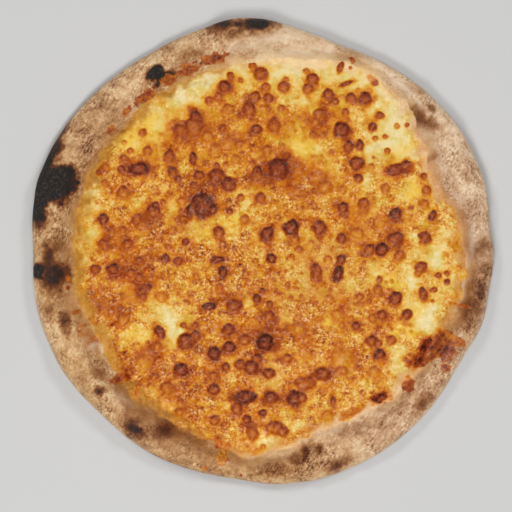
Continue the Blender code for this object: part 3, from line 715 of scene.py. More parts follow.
frothy = USUAL_FROTH + FROTH_SWING * uneven(top_x, top_y, 12 * MM, 71.0) - FROTH_LOST_ON_SKIN * smooth_skin
frothy = np.clip(frothy, 0.0, 1.0)
frothy *= smooth_rise((zone_tone - 0.10) / 0.15) * (1.0 - FROTH_LOST_ON_BLISTERS * blister_cover)
frothy *= (1.0 - top_splash_cover) * (1.0 - FROTH_LOST_ON_BLISTERS * glaze)
olive = zone_values(bent_x, bent_y, OLIVE_ZONES) * (1.0 - blister_cover)
fatty = zone_values(bent_x, bent_y, FAT_ZONES) * (1.0 - blister_cover)
fatty *= 1.0 - smooth_rise((zone_tone - 0.3) / 0.25)
print("froth covers", round(100 * float((frothy > 0.5).mean())), "% of the cheese")

# %% [markdown]
# Where the cheese ends it is thin and wet, and the colour of the dough's slope comes through it: cream
# where the slope is floury, olive or tan where fat has soaked it. How tan and how pink the slope is goes
# round the pizza as two rings of values, stored on both pieces, so that the colours meet at the line and
# no seam shows.

# %% Values along the cheese line
# Angle in degrees, tone of the cheese at its edge, and how wide the edge is in millimetres.
EDGE_TONES = (
    (0, .28, 6), (10, .34, 6), (20, .14, 6), (30, .12, 7), (40, .06, 7), (50, .08, 8), (62, .06, 8),
    (75, .05, 7), (90, .10, 6), (105, .18, 5), (118, .20, 6), (132, .26, 7), (146, .36, 7), (160, .34, 8),
    (176, .36, 8), (190, .44, 9), (200, .48, 9), (212, .42, 8), (222, .50, 8), (231, .44, 8), (240, .50, 8),
    (250, .52, 7), (258, .50, 6), (266, .38, 7), (274, .28, 6), (286, .40, 6), (300, .44, 6), (312, .24, 6),
    (320, .24, 7), (330, .5, 2), (340, .26, 8), (350, .32, 8),
)
# Angle, how tan the slope beside the line is (0 cream, 1 brown), and how pink rather than olive.
SLOPE_TONES = (
    (0, .62, .5), (10, .62, .7), (20, .5, .8), (30, .45, .9), (40, .3, 1), (52, .12, .8), (70, .08, .7),
    (85, 0, .7), (95, .15, .6), (104, .5, .3), (112, .7, .1), (125, .76, 0), (142, .84, 0), (160, .8, 0),
    (180, .74, 0), (195, .68, .1), (206, .74, .1), (213, .5, .1), (222, .94, 0), (231, .8, .1),
    (240, .9, .1), (252, .9, .2), (262, .6, .5), (270, .3, .6), (286, .3, .7), (300, .14, .9),
    (315, .3, .8), (330, .7, .7), (342, .6, .5), (350, .55, .4),
)
TONE_BLUR = 4.0
edge_tone_ring = softened_ring(EDGE_TONES, TONE_BLUR)
edge_width_ring = softened_ring(EDGE_TONES, TONE_BLUR, column=2) * MM
slope_tan_ring = softened_ring(SLOPE_TONES, TONE_BLUR)
slope_pink_ring = softened_ring(SLOPE_TONES, TONE_BLUR, column=2)

edge_distance = read_ring(cheese_edge_ring, top_angle) - top_radius
edge_distance += layered(top_x, top_y, (1.6 * MM, 10, 17.0), (0.6 * MM, 2.6, 18.0))
ragged_distance = edge_distance + layered(top_x, top_y, (3.8 * MM, 9, 2.0), (1.2 * MM, 3, 6.0))
edge_width = read_ring(edge_width_ring, top_angle)
unspoilt = (1.0 - blister_cover) * (1.0 - top_splash_cover)
edge_share = (1.0 - smooth_rise(ragged_distance / edge_width)) * unspoilt
cheese_tone = cheese_tone * (1.0 - edge_share) + read_ring(edge_tone_ring, top_angle) * edge_share
slope_share = (1.0 - smooth_rise((ragged_distance + 1.0 * MM) / (1.3 * edge_width))) * unspoilt
print("the wet edge is at most", round(edge_width_ring.max() / MM, 1), "mm wide")

# %% [markdown]
# The rim isn't smooth: it has bubbles, lumps, wrinkles and a few folds where the dough was pinched, whose
# crests are paler, partly flour and partly a painted highlight.
# The same relief lifts the edge of the cheese, so that the two layers stay together there.

# %% Bubbles, lumps, wrinkles and folds of the rim
# Large bubbles: x, y, radius and height in millimetres.
RIM_BUBBLES = (
    (-146, 46, 14, 2.4), (-147, -12, 9, 1.8), (-73, 124, 7, 1.6), (-5, 157, 10, 1.4), (-28, 156, 8, 1.2),
    (108, 94, 11, 1.8), (146, -20, 11, 1.2), (111, -103, 9, 1.0), (-90, -123, 9, 1.2), (-68, -124, 8, 1.0),
    (28, -140, 10, 1.0), (134, 62, 12, 1.1), (-116, 104, 10, 1.0), (-60, -138, 11, 1.2),
    (-136, -74, 12, 1.3),
)
# Folds, with crests paler partly from flour and partly from a painted highlight: angle, radius, reach along
# the rim and across it, and how strongly each shows.
FOLDS = (
    (217, 131.6, 8, 1.5, .9), (212, 133, 7, 1.7, 1), (208.6, 136.4, 2.6, 4, .8), (352, 142, 16, 1.8, .6),
    (3, 145, 14, 1.8, .7), (266, 140, 9, 3, .7), (36, 140, 9, 2, .5), (50, 149, 16, 2.4, .6),
    (84, 138.4, 12, 2, .5), (93, 144, 14, 2, .4), (227, 142, 5, 1.6, .5), (290, 135, 12, 1.8, .4),
    (345, 139, 6, 2, .4), (79, 140.6, 13, 1.3, .8), (74, 145, 12, 1.2, .7), (88, 146.5, 10, 1.2, .7),
    (69, 141, 9, 1.2, .6), (97, 142, 7, 1.4, .5), (84, 150, 12, 1.6, .6),
)
FOLD_HEIGHT = 0.9 * MM
LUMP_SIZE = 13.0 * MM
LUMP_HEIGHT = 1.1 * MM
RELIEF_FADE = 4.0 * MM


def fold_values(x, y):
    """How near each point is to the crest of a pale fold, from 0 to 1."""
    crest = np.zeros(len(x))
    bend = 0.35 * uneven(x, y, 6.0 * MM, 45.0)
    for angle, radius, long_reach, cross_reach, strength in FOLDS:
        share = along_rim(x, y, angle, radius, long_reach, cross_reach) * (1.0 + bend)
        crest = np.maximum(crest, strength * np.exp(-share ** 2))
    return crest


def rim_relief(x, y, height, splash_cover, folds):
    """What stands out of the rim's smooth form at each point, less where the dough is low."""
    relief = LUMP_HEIGHT * uneven(x, y, LUMP_SIZE)
    for bubble_x, bubble_y, radius, bubble_height in RIM_BUBBLES:
        share = np.hypot(x - bubble_x * MM, y - bubble_y * MM) / (radius * MM)
        relief += bubble_height * MM * np.maximum(1.0 - share ** 2, 0.0) ** 1.2
    relief += layered(x, y, (0.40 * MM, 5.0, 41.0), (0.16 * MM, 2.2, 43.0))
    relief += FOLD_HEIGHT * folds + SPLASH_HEIGHT * splash_cover
    return relief * smooth_rise((height - BASE_THICKNESS) / RELIEF_FADE)


# %% [markdown]
# The cheese's top follows the dough under it. Then comes its own thickness, which thins to a rounded lip at
# the edge, then soft mounds, higher where a skin browned, and the blisters. A small gap keeps the surfaces
# from touching where both are bare.

# %% The height of the cheese
GAP = 0.3 * MM
CHEESE_THICKNESS = 3.2 * MM
CHEESE_EDGE_THICKNESS = 0.9 * MM
CHEESE_EDGE_WIDTH = 9.0 * MM
EDGE_ROUNDING = 1.6 * MM
MOUND_SIZE = 26.0 * MM
MOUND_HEIGHT = 0.7 * MM
SKIN_LIFT = 1.1 * MM

inward = smooth_rise(edge_distance / CHEESE_EDGE_WIDTH)
thickness = np.where(
    edge_distance > 0.0,
    CHEESE_EDGE_THICKNESS * (1.0 - np.exp(-np.maximum(edge_distance, 0.0) / EDGE_ROUNDING)),
    CHEESE_EDGE_THICKNESS * edge_distance / EDGE_ROUNDING,
)
thickness = thickness + (CHEESE_THICKNESS - CHEESE_EDGE_THICKNESS) * inward
relief = MOUND_HEIGHT * uneven(top_x, top_y, MOUND_SIZE)
relief += SKIN_LIFT * (np.clip(zone_tone, 0, 0.6) - BASE_TONE)
relief += 0.22 * MM * uneven(top_x, top_y, 3.2 * MM, 4.0) * (0.5 + zone_tone)
top_z = dish_height(top_radius, top_angle)
top_z += rim_relief(top_x, top_y, top_z, top_splash_cover, fold_values(top_x, top_y))
top_z += GAP + thickness + (relief + blister_height) * inward
print("the cheese's top lies", round(top_z.min() / MM, 1), "to", round(top_z.max() / MM, 1), "mm up")

# %% [markdown]
# A piece has to be closed to be solid, so a wall goes down from the edge of the sheet and a flat bottom fills
# it. Everything that the material needs goes onto the points as named values.

# %% From arrays to a closed piece
def mesh_of(name, points, triangles):
    """A smooth-shaded mesh from arrays of points and of triangles."""
    mesh = bpy.data.meshes.new(name)
    mesh.vertices.add(len(points))
    mesh.vertices.foreach_set("co", np.ascontiguousarray(points, dtype=np.float32).ravel())
    mesh.loops.add(3 * len(triangles))
    mesh.loops.foreach_set("vertex_index", np.ascontiguousarray(triangles, dtype=np.int32).ravel())
    mesh.polygons.add(len(triangles))
    mesh.polygons.foreach_set("loop_start", np.arange(0, 3 * len(triangles), 3, dtype=np.int32))
    mesh.update(calc_edges=True)
    mesh.validate()
    mesh.shade_smooth()
    return mesh


def give_values(mesh, name, values):
    """Store one value for each point, for the material to read."""
    stored = mesh.attributes.new(name, "FLOAT", "POINT")
    stored.data.foreach_set("value", np.asarray(values, dtype=np.float32))


def edge_loop(triangles):
    """The points round the open edge of a sheet of triangles, in order."""
    sides = np.concatenate([triangles[:, [0, 1]], triangles[:, [1, 2]], triangles[:, [2, 0]]])
    keys = {(a, b) for a, b in sides.tolist()}
    follow = {a: b for a, b in keys if (b, a) not in keys}
    start = next(iter(follow))
    loop = [start]
    while follow[loop[-1]] != start:
        loop.append(follow[loop[-1]])
    assert len(loop) == len(follow), "the sheet has one open edge"
    return np.array(loop)


def close_below(points, triangles, height):
    """Close a sheet with a wall down to a flat bottom, filled round its middle."""
    loop = edge_loop(triangles)
    count = len(loop)
    low = points[loop].copy()
    low[:, 2] = height
    middle = np.array([[0.0, 0.0, height]])
    low_numbers = len(points) + np.arange(count)
    after = np.roll(np.arange(count), -1)
    wall_a = np.stack([loop[after], loop, low_numbers], axis=-1)
    wall_b = np.stack([loop[after], low_numbers, low_numbers[after]], axis=-1)
    bottom = np.stack([low_numbers[after], low_numbers, np.full(count, len(points) + count)], axis=-1)
    return np.concatenate([points, low, middle]), np.concatenate([triangles, wall_a, wall_b, bottom])


CHEESE_BOTTOM = BASE_THICKNESS - 0.5 * MM
cheese_points = np.stack([top_x, top_y, top_z], axis=-1)
cheese_points, cheese_triangles = close_below(cheese_points, top_triangles, CHEESE_BOTTOM)
cheese_mesh = mesh_of("melted_cheese", cheese_points, cheese_triangles)
hidden_points = len(cheese_points) - len(top_x)
for value_name, values in {
    "tone": cheese_tone,
    "bubbled": np.maximum(blister_cover, top_splash_cover),
    "slope": slope_share,
    "frothy": frothy * (1.0 - slope_share),
    "fatty": fatty,
    "olive": olive,
    "crown": blister_crown * blister_cover,
    "slope_tan": read_ring(slope_tan_ring, top_angle),
    "slope_pink": read_ring(slope_pink_ring, top_angle),
}.items():
    give_values(cheese_mesh, value_name, np.append(values, np.zeros(hidden_points)))
cheese = link(cheese_mesh, "melted_cheese")
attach(cheese, "root")
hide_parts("cheese")
print("melted_cheese has", len(cheese_mesh.polygons), "triangles")

# %% [markdown]
# ## The dough as a dense mesh
#
# The rim turns right round under itself, so a grid seen from above can't make it. Rings can: each is one
# step along the section, from under the cheese over the crown and down to the table. Bubbles, burnt
# splashes and lumps raise it, as on the solid, and finer wrinkles that the solid leaves out are added.

# %% Rings from under the cheese over the rim to the table
SECTORS = 1000
DISH_STEPS = 8
DISH_STEP = 1.2 * MM
SLOPE_STEPS = 15
SHOULDER_STEPS = 22
CURL_STEPS = 10

sector_angle = np.arange(SECTORS) * 360.0 / SECTORS
edge_here = read_ring(cheese_edge_ring, sector_angle)
crown_here = read_ring(crown_ring, sector_angle)
outer_here = read_ring(outer_ring, sector_angle)
height_here = read_ring(height_ring, sector_angle)
bulge_here = height_here * BULGE_HEIGHT_SHARE
section = []
for step in range(DISH_STEPS, 0, -1):
    ring_radius = edge_here - DISH_STEP * step
    section.append((ring_radius, dish_height(ring_radius, sector_angle)))
for step in range(SLOPE_STEPS + 1):
    ring_radius = edge_here + (crown_here - edge_here) * step / SLOPE_STEPS
    section.append((ring_radius, dish_height(ring_radius, sector_angle)))
for step in range(1, SHOULDER_STEPS + 1):
    turn = math.radians(90 * step / SHOULDER_STEPS)
    ring_radius = crown_here + (outer_here - crown_here) * math.sin(turn)
    section.append((ring_radius, bulge_here + (height_here - bulge_here) * math.cos(turn)))
for step in range(1, CURL_STEPS + 1):
    turn = math.radians(90 * step / CURL_STEPS)
    section.append((outer_here - CURL * (1.0 - math.cos(turn)), bulge_here * (1.0 - math.sin(turn))))
ring_count = len(section)
rim_radius = np.array([ring[0] for ring in section])
rim_z = np.array([ring[1] for ring in section])
rim_x = rim_radius * np.cos(np.radians(sector_angle))
rim_y = rim_radius * np.sin(np.radians(sector_angle))
print(ring_count, "rings of", SECTORS, "points")

# %% The dough's points and triangles
dough_x, dough_y, dough_z = rim_x.ravel(), rim_y.ravel(), rim_z.ravel()
dough_angle = np.tile(sector_angle, ring_count)
splash_cover, splash_tone = splash_values(dough_x, dough_y)
folds = fold_values(dough_x, dough_y)
dough_z = dough_z + rim_relief(dough_x, dough_y, dough_z, splash_cover, folds)

dough_points = np.stack([dough_x, dough_y, dough_z], axis=-1)
dough_points = np.concatenate([dough_points, [[0.0, 0.0, BASE_THICKNESS], [0.0, 0.0, 0.0]]])
numbers = np.arange(ring_count * SECTORS).reshape(ring_count, SECTORS)
after = np.roll(numbers, -1, axis=1)
quad_a = np.stack([numbers[:-1], numbers[1:], after[1:]], axis=-1).reshape(-1, 3)
quad_b = np.stack([numbers[:-1], after[1:], after[:-1]], axis=-1).reshape(-1, 3)
top_middle, bottom_middle = ring_count * SECTORS, ring_count * SECTORS + 1
dish_fan = np.stack([np.full(SECTORS, top_middle), numbers[0], after[0]], axis=-1)
base_fan = np.stack([np.full(SECTORS, bottom_middle), after[-1], numbers[-1]], axis=-1)
dough_triangles = np.concatenate([quad_a, quad_b, dish_fan, base_fan])
print(len(dough_points), "points and", len(dough_triangles), "triangles")

# %% [markdown]
# ## Where the dough is charred, scorched, greasy or brown
#
# Bubbles in the rim stood nearest the fire and burnt black, with a brown halo. Fat from the cheese soaked
# the slope beside it. And the side of the rim that faced the flames is browner all over. The first are
# listed ovals with ragged edges. The others are values that go round the rim.

# %% Char and scorch
# Angle, radius, reach along the rim and across it in millimetres, strength, and softness of the edge.
CHAR = (
    (162.4, 155, 12, 13, 1, .3), (162, 145.6, 9.5, 6, 1, .45), (167, 161, 10, 7, 1, .35),
    (170.8, 159.6, 5, 6.4, .92, .5), (158, 147, 5, 5, .9, .6), (158.4, 163.5, 10, 4, 1, .4),
    (154, 162, 7, 4.5, .8, .6), (149, 165, 9, 3, .62, .6), (143, 165, 9, 1.8, .6, .5),
    (172.6, 157, 5, 5, .55, .7), (185.3, 157.8, 5.6, 4, 1, .3), (187, 148, 8, 7.4, .80, .8),
    (181.6, 149.4, 6, 3.4, .66, .9), (185.6, 141, 4.5, 3.8, .5, .9), (178.5, 146, 5, 5, .36, .9),
    (121.3, 145.6, 6.2, 4.7, 1, .3), (119.4, 140, 6, 2.2, .92, .4), (117.6, 138, 4, 1.5, .8, .5),
    (122.6, 138.2, 2.6, 1.4, .8, .5), (110.5, 145, 9, 4.5, .32, .9), (91.5, 158.6, 12, 4.4, .96, .6),
    (100.5, 161, 8, 4, .84, .7), (98, 153.5, 9, 4.5, .36, .9), (91, 152, 6, 4, .3, .9),
    (233.6, 152.6, 7.4, 4.8, .84, .8), (241, 143, 4.8, 4.6, .58, .9), (239.4, 148, 6, 4, .24, .9),
    (220.2, 150, 3.2, 2.6, .74, .7), (216.6, 143, 4, 3.4, .38, .9), (198.6, 146.4, 4.4, 3.2, .64, .7),
    (201, 148.6, 5, 2.6, .42, .8), (195, 155, 8, 6, .2, .9), (41.2, 142.6, 6.4, 4.4, .56, .8),
    (40.4, 152.6, 3.2, 2.2, .5, .7), (37, 145, 4.6, 3.4, .42, .9), (46, 155, 5, 3, .2, .9),
    (316.8, 153.2, 6.4, 3.8, .52, .8), (313, 155, 5, 3, .16, .9), (290, 157, 8, 3, .34, .9),
    (281.6, 143, 2.1, 4.4, .56, .6), (285.6, 143.6, 3, 2.6, .46, .7), (278.6, 147.4, 6, 3, .26, .8),
    (274, 153, 11, 4.5, .3, .9), (289, 158.4, 4, 2, .42, .8), (345, 149.6, 8, 5, .5, .9),
    (340, 151, 5, 4, .3, .9), (351, 149, 5, 4, .3, .9), (0, 150, 5, 5, .24, .9),
    (354.6, 155, 5, 5, .36, .9), (349, 154, 6, 3, .4, .8), (9, 151, 7, 7, .1, .9), (13, 147, 5, 6, .14, .9),
    (20, 151, 4, 3, .22, .9), (250.6, 163, 4, 2, .6, .6), (66, 150, 8, 3.6, .24, .9),
    (29, 134, 2, 6, .2, .9), (2, 156, 5, 5, .24, .9),
)
# How brown the rim is all over: angle in degrees, value.
BAKE = (
    (0, .6), (8, .28), (18, .06), (30, .22), (45, .26), (60, .32), (70, .16), (80, -.2), (86, -.16),
    (92, .2), (104, .58), (113, .46), (122, .56), (132, .64), (142, .76), (155, .82), (170, .74),
    (185, .62), (200, .54), (214, .56), (228, .6), (240, .72), (252, .9), (262, .86), (275, .72), (290, .7),
    (302, .36), (315, .56), (326, .66), (338, .74), (350, .72),
)
# How pink the flour is rather than golden: angle in degrees, value.
PINK = (
    (0, .9), (40, .8), (80, .6), (100, .5), (115, .35), (140, .45), (180, .2), (215, .25), (235, .45),
    (255, .2), (280, .2), (300, .7), (322, .6), (340, .6),
)
# How far the fat reached up the slope from the cheese line: angle in degrees, millimetres.
GREASE_REACH = (
    (0, 7), (10, 4), (18, 5), (30, 7), (40, 7), (50, 6), (60, 5), (70, 5), (80, 7), (90, 7), (97, 8),
    (110, 8), (125, 8), (140, 8), (160, 7), (180, 6), (195, 9), (205, 11), (215, 7), (225, 10), (235, 12),
    (245, 18), (255, 22), (262, 13), (270, 8), (280, 7), (290, 5), (300, 3), (315, 5), (330, 8), (340, 11),
    (350, 9),
)
# How pale the outermost edge is, partly flour and partly painted light where it curves down: angle in
# degrees, value.
LIP_FLOUR_AND_LIGHT = (
    (0, .3), (20, .2), (50, .3), (70, .7), (88, .6), (100, .2), (180, .3), (205, .6), (225, .5), (245, .2),
    (300, .4), (318, .9), (336, .9), (345, .4),
)
CHAR_HALO = 0.22


def char_values(x, y):
    """How burnt each point is, from 0 to 1."""
    burnt = np.zeros(len(x))
    ragged = layered(x, y, (0.14, 7.0, 51.0), (0.13, 2.6, 53.0))
    for angle, radius, long_reach, cross_reach, strength, softness in CHAR:
        share = along_rim(x, y, angle, radius, long_reach, cross_reach) * (1.0 + ragged)
        here = strength * (1.0 - smooth_rise((share - 1.0 + softness) / (2.3 * softness)))
        halo = CHAR_HALO * strength * (1.0 - smooth_rise((share - 1.0) / 0.55))
        burnt = 1.0 - (1.0 - burnt) * (1.0 - np.maximum(here, halo))
    return burnt


def round_the_rim(knots, blur):
    """A table of angles and values, read at each of the dough's points."""
    return read_ring(softened_ring(knots, blur), dough_angle)


FOLD_FLOUR_AND_SHEEN = 0.8
LIP_WIDTH = 1.6 * MM
PINK_AWAY_FROM_CHEESE = 0.85

burnt = char_values(dough_x, dough_y)
bake = round_the_rim(BAKE, 6.0)
from_cheese = np.hypot(dough_x, dough_y) - read_ring(cheese_edge_ring, dough_angle)
ragged_reach = from_cheese + layered(dough_x, dough_y, (2.0 * MM, 7, 61.0), (0.8 * MM, 2.4, 63.0))
grease_reach = round_the_rim(GREASE_REACH, 5.0) * MM
patchy_reach = grease_reach * (0.85 + 0.55 * uneven(dough_x, dough_y, 18 * MM, 65.0))
greasy = 1.0 - smooth_rise((ragged_reach / patchy_reach - 0.4) / 0.9)
slope_pink = read_ring(slope_pink_ring, dough_angle)
further_out = smooth_rise((ragged_reach - 0.5 * MM) / (4.0 * MM))
slope_pink = slope_pink + (PINK_AWAY_FROM_CHEESE - slope_pink) * further_out
to_side = read_ring(outer_ring, dough_angle) - np.hypot(dough_x, dough_y)
# Painted light: the outermost edge and the fold crests are paler, partly flour and partly painted light on
# the edge that curves down and on the crests.
lip = round_the_rim(LIP_FLOUR_AND_LIGHT, 4.0) * np.exp(-np.maximum(to_side, 0.0) / LIP_WIDTH)
lip = np.maximum(lip, FOLD_FLOUR_AND_SHEEN * folds)
print("charred", round(100 * float((burnt > 0.6).mean()), 1), "% of the rim's points")

# %% The piece of dough
dough_mesh = mesh_of("baked_dough", dough_points, dough_triangles)
under_start = ring_count - CURL_STEPS - 6
under = np.repeat(np.clip((np.arange(ring_count) - under_start) / 8.0, 0.0, 1.0), SECTORS)
for value_name, values in {
    "burnt": burnt,
    "bake": bake,
    "greasy": greasy,
    "under": under,
    "splash": splash_cover,
    "splash_tone": splash_tone,
    "slope_tan": read_ring(slope_tan_ring, dough_angle),
    "slope_pink": slope_pink,
    "lip": lip,
    "pink": round_the_rim(PINK, 6.0),
}.items():
    give_values(dough_mesh, value_name, np.append(values, [0.0, values[-1]]))
dough = link(dough_mesh, "baked_dough")
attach(dough, "root")
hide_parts("crust")
print("baked_dough has", len(dough_mesh.polygons), "triangles")

# %% [markdown]
# ## A way to write materials as sums
#
# A material is a graph of small nodes, and most of them are plain arithmetic. `Value` wraps the output of
# one node, so that `a * 2 + b` adds the Math nodes by itself. `Recipe` makes every other node with one
# method.

# %% Value and Recipe
class Value:
    """One number of a material, which may differ at each point of the surface."""

    def __init__(self, recipe, socket):
        self.recipe = recipe
        self.socket = socket

    def maths(self, operation, *numbers, clamp=False):
        """A Math node on values or plain numbers."""
        settings = {"operation": operation, "use_clamp": clamp}
        return self.recipe.node("ShaderNodeMath", settings, dict(enumerate(numbers)))

    def __add__(self, other):
        return self.maths("ADD", self, other)

    def __sub__(self, other):
        return self.maths("SUBTRACT", self, other)

    def __rsub__(self, other):
        return self.maths("SUBTRACT", other, self)

    def __mul__(self, other):
        return self.maths("MULTIPLY", self, other)

    __radd__ = __add__
    __rmul__ = __mul__

    def limited(self):
        """The same value kept between 0 and 1."""
        return self.maths("ADD", self, 0.0, clamp=True)

    def rise(self, start, end):
        """From 0 to 1 as the value goes from start to end, with soft ends."""
        return self.recipe.node(
            "ShaderNodeMapRange", {"interpolation_type": "SMOOTHSTEP"},
            {"Value": self, "From Min": start, "From Max": end},
        )


def srgb(red, green, blue):
    """A colour as a screen gives it, from 0 to 255, turned into the light that a material works with."""
    shares = [channel / 255 for channel in (red, green, blue)]
    return tuple(s / 12.92 if s <= 0.04045 else ((s + 0.055) / 1.055) ** 2.4 for s in shares) + (1.0,)


def colour_row(*stops):
    """Stops for a row of colours, each a position from 0 to 1 and then red, green and blue."""
    return [(position, srgb(*colour)) for position, *colour in stops]


class Recipe:
    """A material, written one node at a time."""

    def __init__(self, name):
        self.material = bpy.data.materials.new(name)
        self.material.use_nodes = True
        self.tree = self.material.node_tree
        self.shader = self.tree.nodes["Principled BSDF"]
        self.place = self.node("ShaderNodeTexCoord", output="Object")

    def node(self, kind, settings=None, sockets=None, output=0):
        """Make a node: first its settings, then the values or links of its sockets."""
        made = self.tree.nodes.new(kind)
        for name, value in (settings or {}).items():
            if name == "stops":
                self.set_stops(made.color_ramp.elements, value)
            else:
                setattr(made, name, value)
        for name, value in (sockets or {}).items():
            self.feed(made.inputs[name], value)
        return Value(self, made.outputs[output])

    def feed(self, socket, value):
        """Link a value to a socket, or set the socket's own number or colour."""
        if isinstance(value, Value):
            self.tree.links.new(value.socket, socket)
        else:
            socket.default_value = value

    def set_stops(self, elements, stops):
        """Give a row of colours its stops."""
        while len(elements) < len(stops):
            elements.new(1.0)
        for element, (position, colour) in zip(elements, stops):
            element.position = position
            element.color = colour

    def stored(self, name):
        """A value stored on the mesh's points."""
        return self.node("ShaderNodeAttribute", {"attribute_name": name}, output="Fac")

    def grain(self, size, detail=2.0, roughness=0.5, shift=0.0, stretch=None):
        """Noise from about 0 to 1 with features of the given size, or drawn out at an angle by a factor."""
        moved = {0: self.place, 1: (shift, shift, shift)}
        place = self.node("ShaderNodeVectorMath", {"operation": "ADD"}, moved)
        if stretch is not None:
            turn, factor = stretch
            place = self.node("ShaderNodeMapping", {"vector_type": "TEXTURE"}, {
                "Vector": place, "Rotation": (0.0, 0.0, math.radians(turn)), "Scale": (factor, 1.0, 1.0),
            })
        sockets = {"Vector": place, "Scale": 1.0 / size, "Detail": detail, "Roughness": roughness}
        return self.node("ShaderNodeTexNoise", {}, sockets)

    def colours(self, value, stops):
        """Turn a value into a colour through stops of position and colour."""
        return self.node("ShaderNodeValToRGB", {"stops": stops}, {"Fac": value})

    def blend(self, share, first, second, how="MIX"):
        """Mix two colours."""
        settings = {"data_type": "RGBA", "blend_type": how, "clamp_factor": True}
        return self.node("ShaderNodeMix", settings, {0: share, 6: first, 7: second}, output=2)

    def bump(self, height, depth):
        """Relief too fine for the mesh: height from 0 to 1, depth in metres."""
        return self.node("ShaderNodeBump", {}, {"Height": height, "Strength": 1.0, "Distance": depth})

    def finish(self, **sockets):
        """Set the surface's own sockets, with spaces in their names written as underscores."""
        for name, value in sockets.items():
            self.feed(self.shader.inputs[name.replace("_", " ")], value)
        return self.material


# %% [markdown]
# ## The finish of the cheese
#
# One number, the tone, says how far each spot has baked, and one row of colours turns it into cream,
# gold, orange, red-brown and black. Noise shifts the tone first, with grains finer than the mesh's own
# points, so the colour breaks up into the specks that frying fat leaves. The surface is wet with fat: it
# has a low roughness, a warm tint in its highlights, and fine relief that breaks the light into sparkles.

# %% Colours of baking cheese
CHEESE_COLOURS = colour_row(
    (0.00, 234, 218, 166), (0.12, 229, 201, 124), (0.26, 224, 172, 66), (0.40, 211, 140, 36),
    (0.52, 196, 110, 22), (0.64, 172, 84, 20), (0.76, 142, 58, 20), (0.88, 98, 34, 18), (1.00, 50, 12, 6),
)
CLEAR_FAT = srgb(240, 196, 64)
OLIVE_SKIN = srgb(208, 162, 76)
GREENISH_SHADE = srgb(230, 230, 150)
ROSY_SHADE = srgb(250, 214, 200)
CROWN_WEAR_AND_SHEEN = srgb(178, 106, 78)
# The colour of the painted glints on the froth.
PAINTED_GLINT = srgb(252, 212, 142)
# The slope beside the cheese, from cream to brown: where fat soaked it, and where flour kept it dry.
SOAKED_SLOPE = colour_row(
    (0.0, 228, 202, 134), (0.4, 208, 162, 78), (0.75, 182, 126, 44), (1.0, 148, 92, 30),
)
DRY_SLOPE = colour_row(
    (0.0, 238, 210, 172), (0.4, 218, 170, 122), (0.75, 192, 134, 80), (1.0, 152, 90, 44),
)


def froth_relief_and_glint_dots(recipe):
    """Dots on the froth, 1 on each and 0 between them, in some places more than in others: bumped as relief,
    and painted pale as glints.
    """
    dots = recipe.grain(1.7 * MM, detail=2.0, shift=13.0).rise(0.50, 0.66)
    return dots * recipe.grain(6.0 * MM, detail=2.0, shift=33.0).rise(0.38, 0.58)


def cheese_surface(recipe, tone, bubbled, crown, frothy, fatty, olive):
    """The colour of cheese of a tone: its specks, its clear fat, painted sheen on blisters, painted glints on
    froth.
    """
    specks = recipe.grain(1.7 * MM, detail=3.0, roughness=0.75).rise(0.30, 0.70)
    pores = recipe.grain(3.6 * MM, detail=2.0, shift=7.0)
    shades = recipe.grain(10 * MM, detail=3.0, roughness=0.6, shift=21.0)
    not_brown = 1.0 - tone.rise(0.45, 0.58)
    freckling = (0.11 + 0.30 * frothy) * (specks - 0.68) + (0.25 + 0.38 * frothy) * (pores - 0.5)
    freckling = freckling * (0.45 + 0.55 * tone.rise(0.10, 0.36))
    baked = recipe.colours((tone + freckling).limited(), CHEESE_COLOURS)
    baked = recipe.blend(0.6 * fatty, baked, CLEAR_FAT)
    baked = recipe.blend(0.45 * olive * not_brown, baked, OLIVE_SKIN)
    greener = 0.5 * shades.rise(0.50, 0.66) * (1.0 - bubbled) * not_brown
    baked = recipe.blend(greener, baked, GREENISH_SHADE, how="MULTIPLY")
    rosy = 0.5 * (1.0 - shades.rise(0.34, 0.50)) * tone.rise(0.25, 0.45)
    baked = recipe.blend(rosy, baked, ROSY_SHADE, how="MULTIPLY")
    # Painted sheen: the tops of the blisters are blended towards a pale pinkish brown, partly skin that wore
    # thin and partly a painted highlight.
    crown_wear_and_sheen = (0.06 + 0.50 * recipe.grain(1.6 * MM, detail=1.0, shift=53.0).rise(0.50, 0.64)) * crown
    baked = recipe.blend(crown_wear_and_sheen, baked, CROWN_WEAR_AND_SHEEN)
    # Painted glints: pale dots on the froth stand in for highlights of the wet fat.
    return recipe.blend((0.12 + 0.63 * frothy) * froth_relief_and_glint_dots(recipe) * (1.0 - bubbled), baked, PAINTED_GLINT)


def slope_surface(recipe):
    """The colour of the smooth slope between cheese and rim, from the values stored along the line."""
    stains = recipe.grain(7.0 * MM, detail=3.0, roughness=0.6, shift=4.0) - 0.5
    dots = recipe.grain(1.8 * MM, detail=3.0, roughness=0.7, shift=15.0) - 0.5
    tan = recipe.stored("slope_tan") + 0.9 * stains + 0.6 * dots
    tan = tan.limited()
    soaked = recipe.colours(tan, SOAKED_SLOPE)
    dry = recipe.colours(tan, DRY_SLOPE)
    return recipe.blend(recipe.stored("slope_pink"), soaked, dry)


# %% The cheese
FAT_COLOUR = (1.0, 0.80, 0.60, 1.0)
FAT_BENDS_LIGHT = 1.48
FAT_SHINE = 0.3
RELIEF_DEPTH = 0.6 * MM

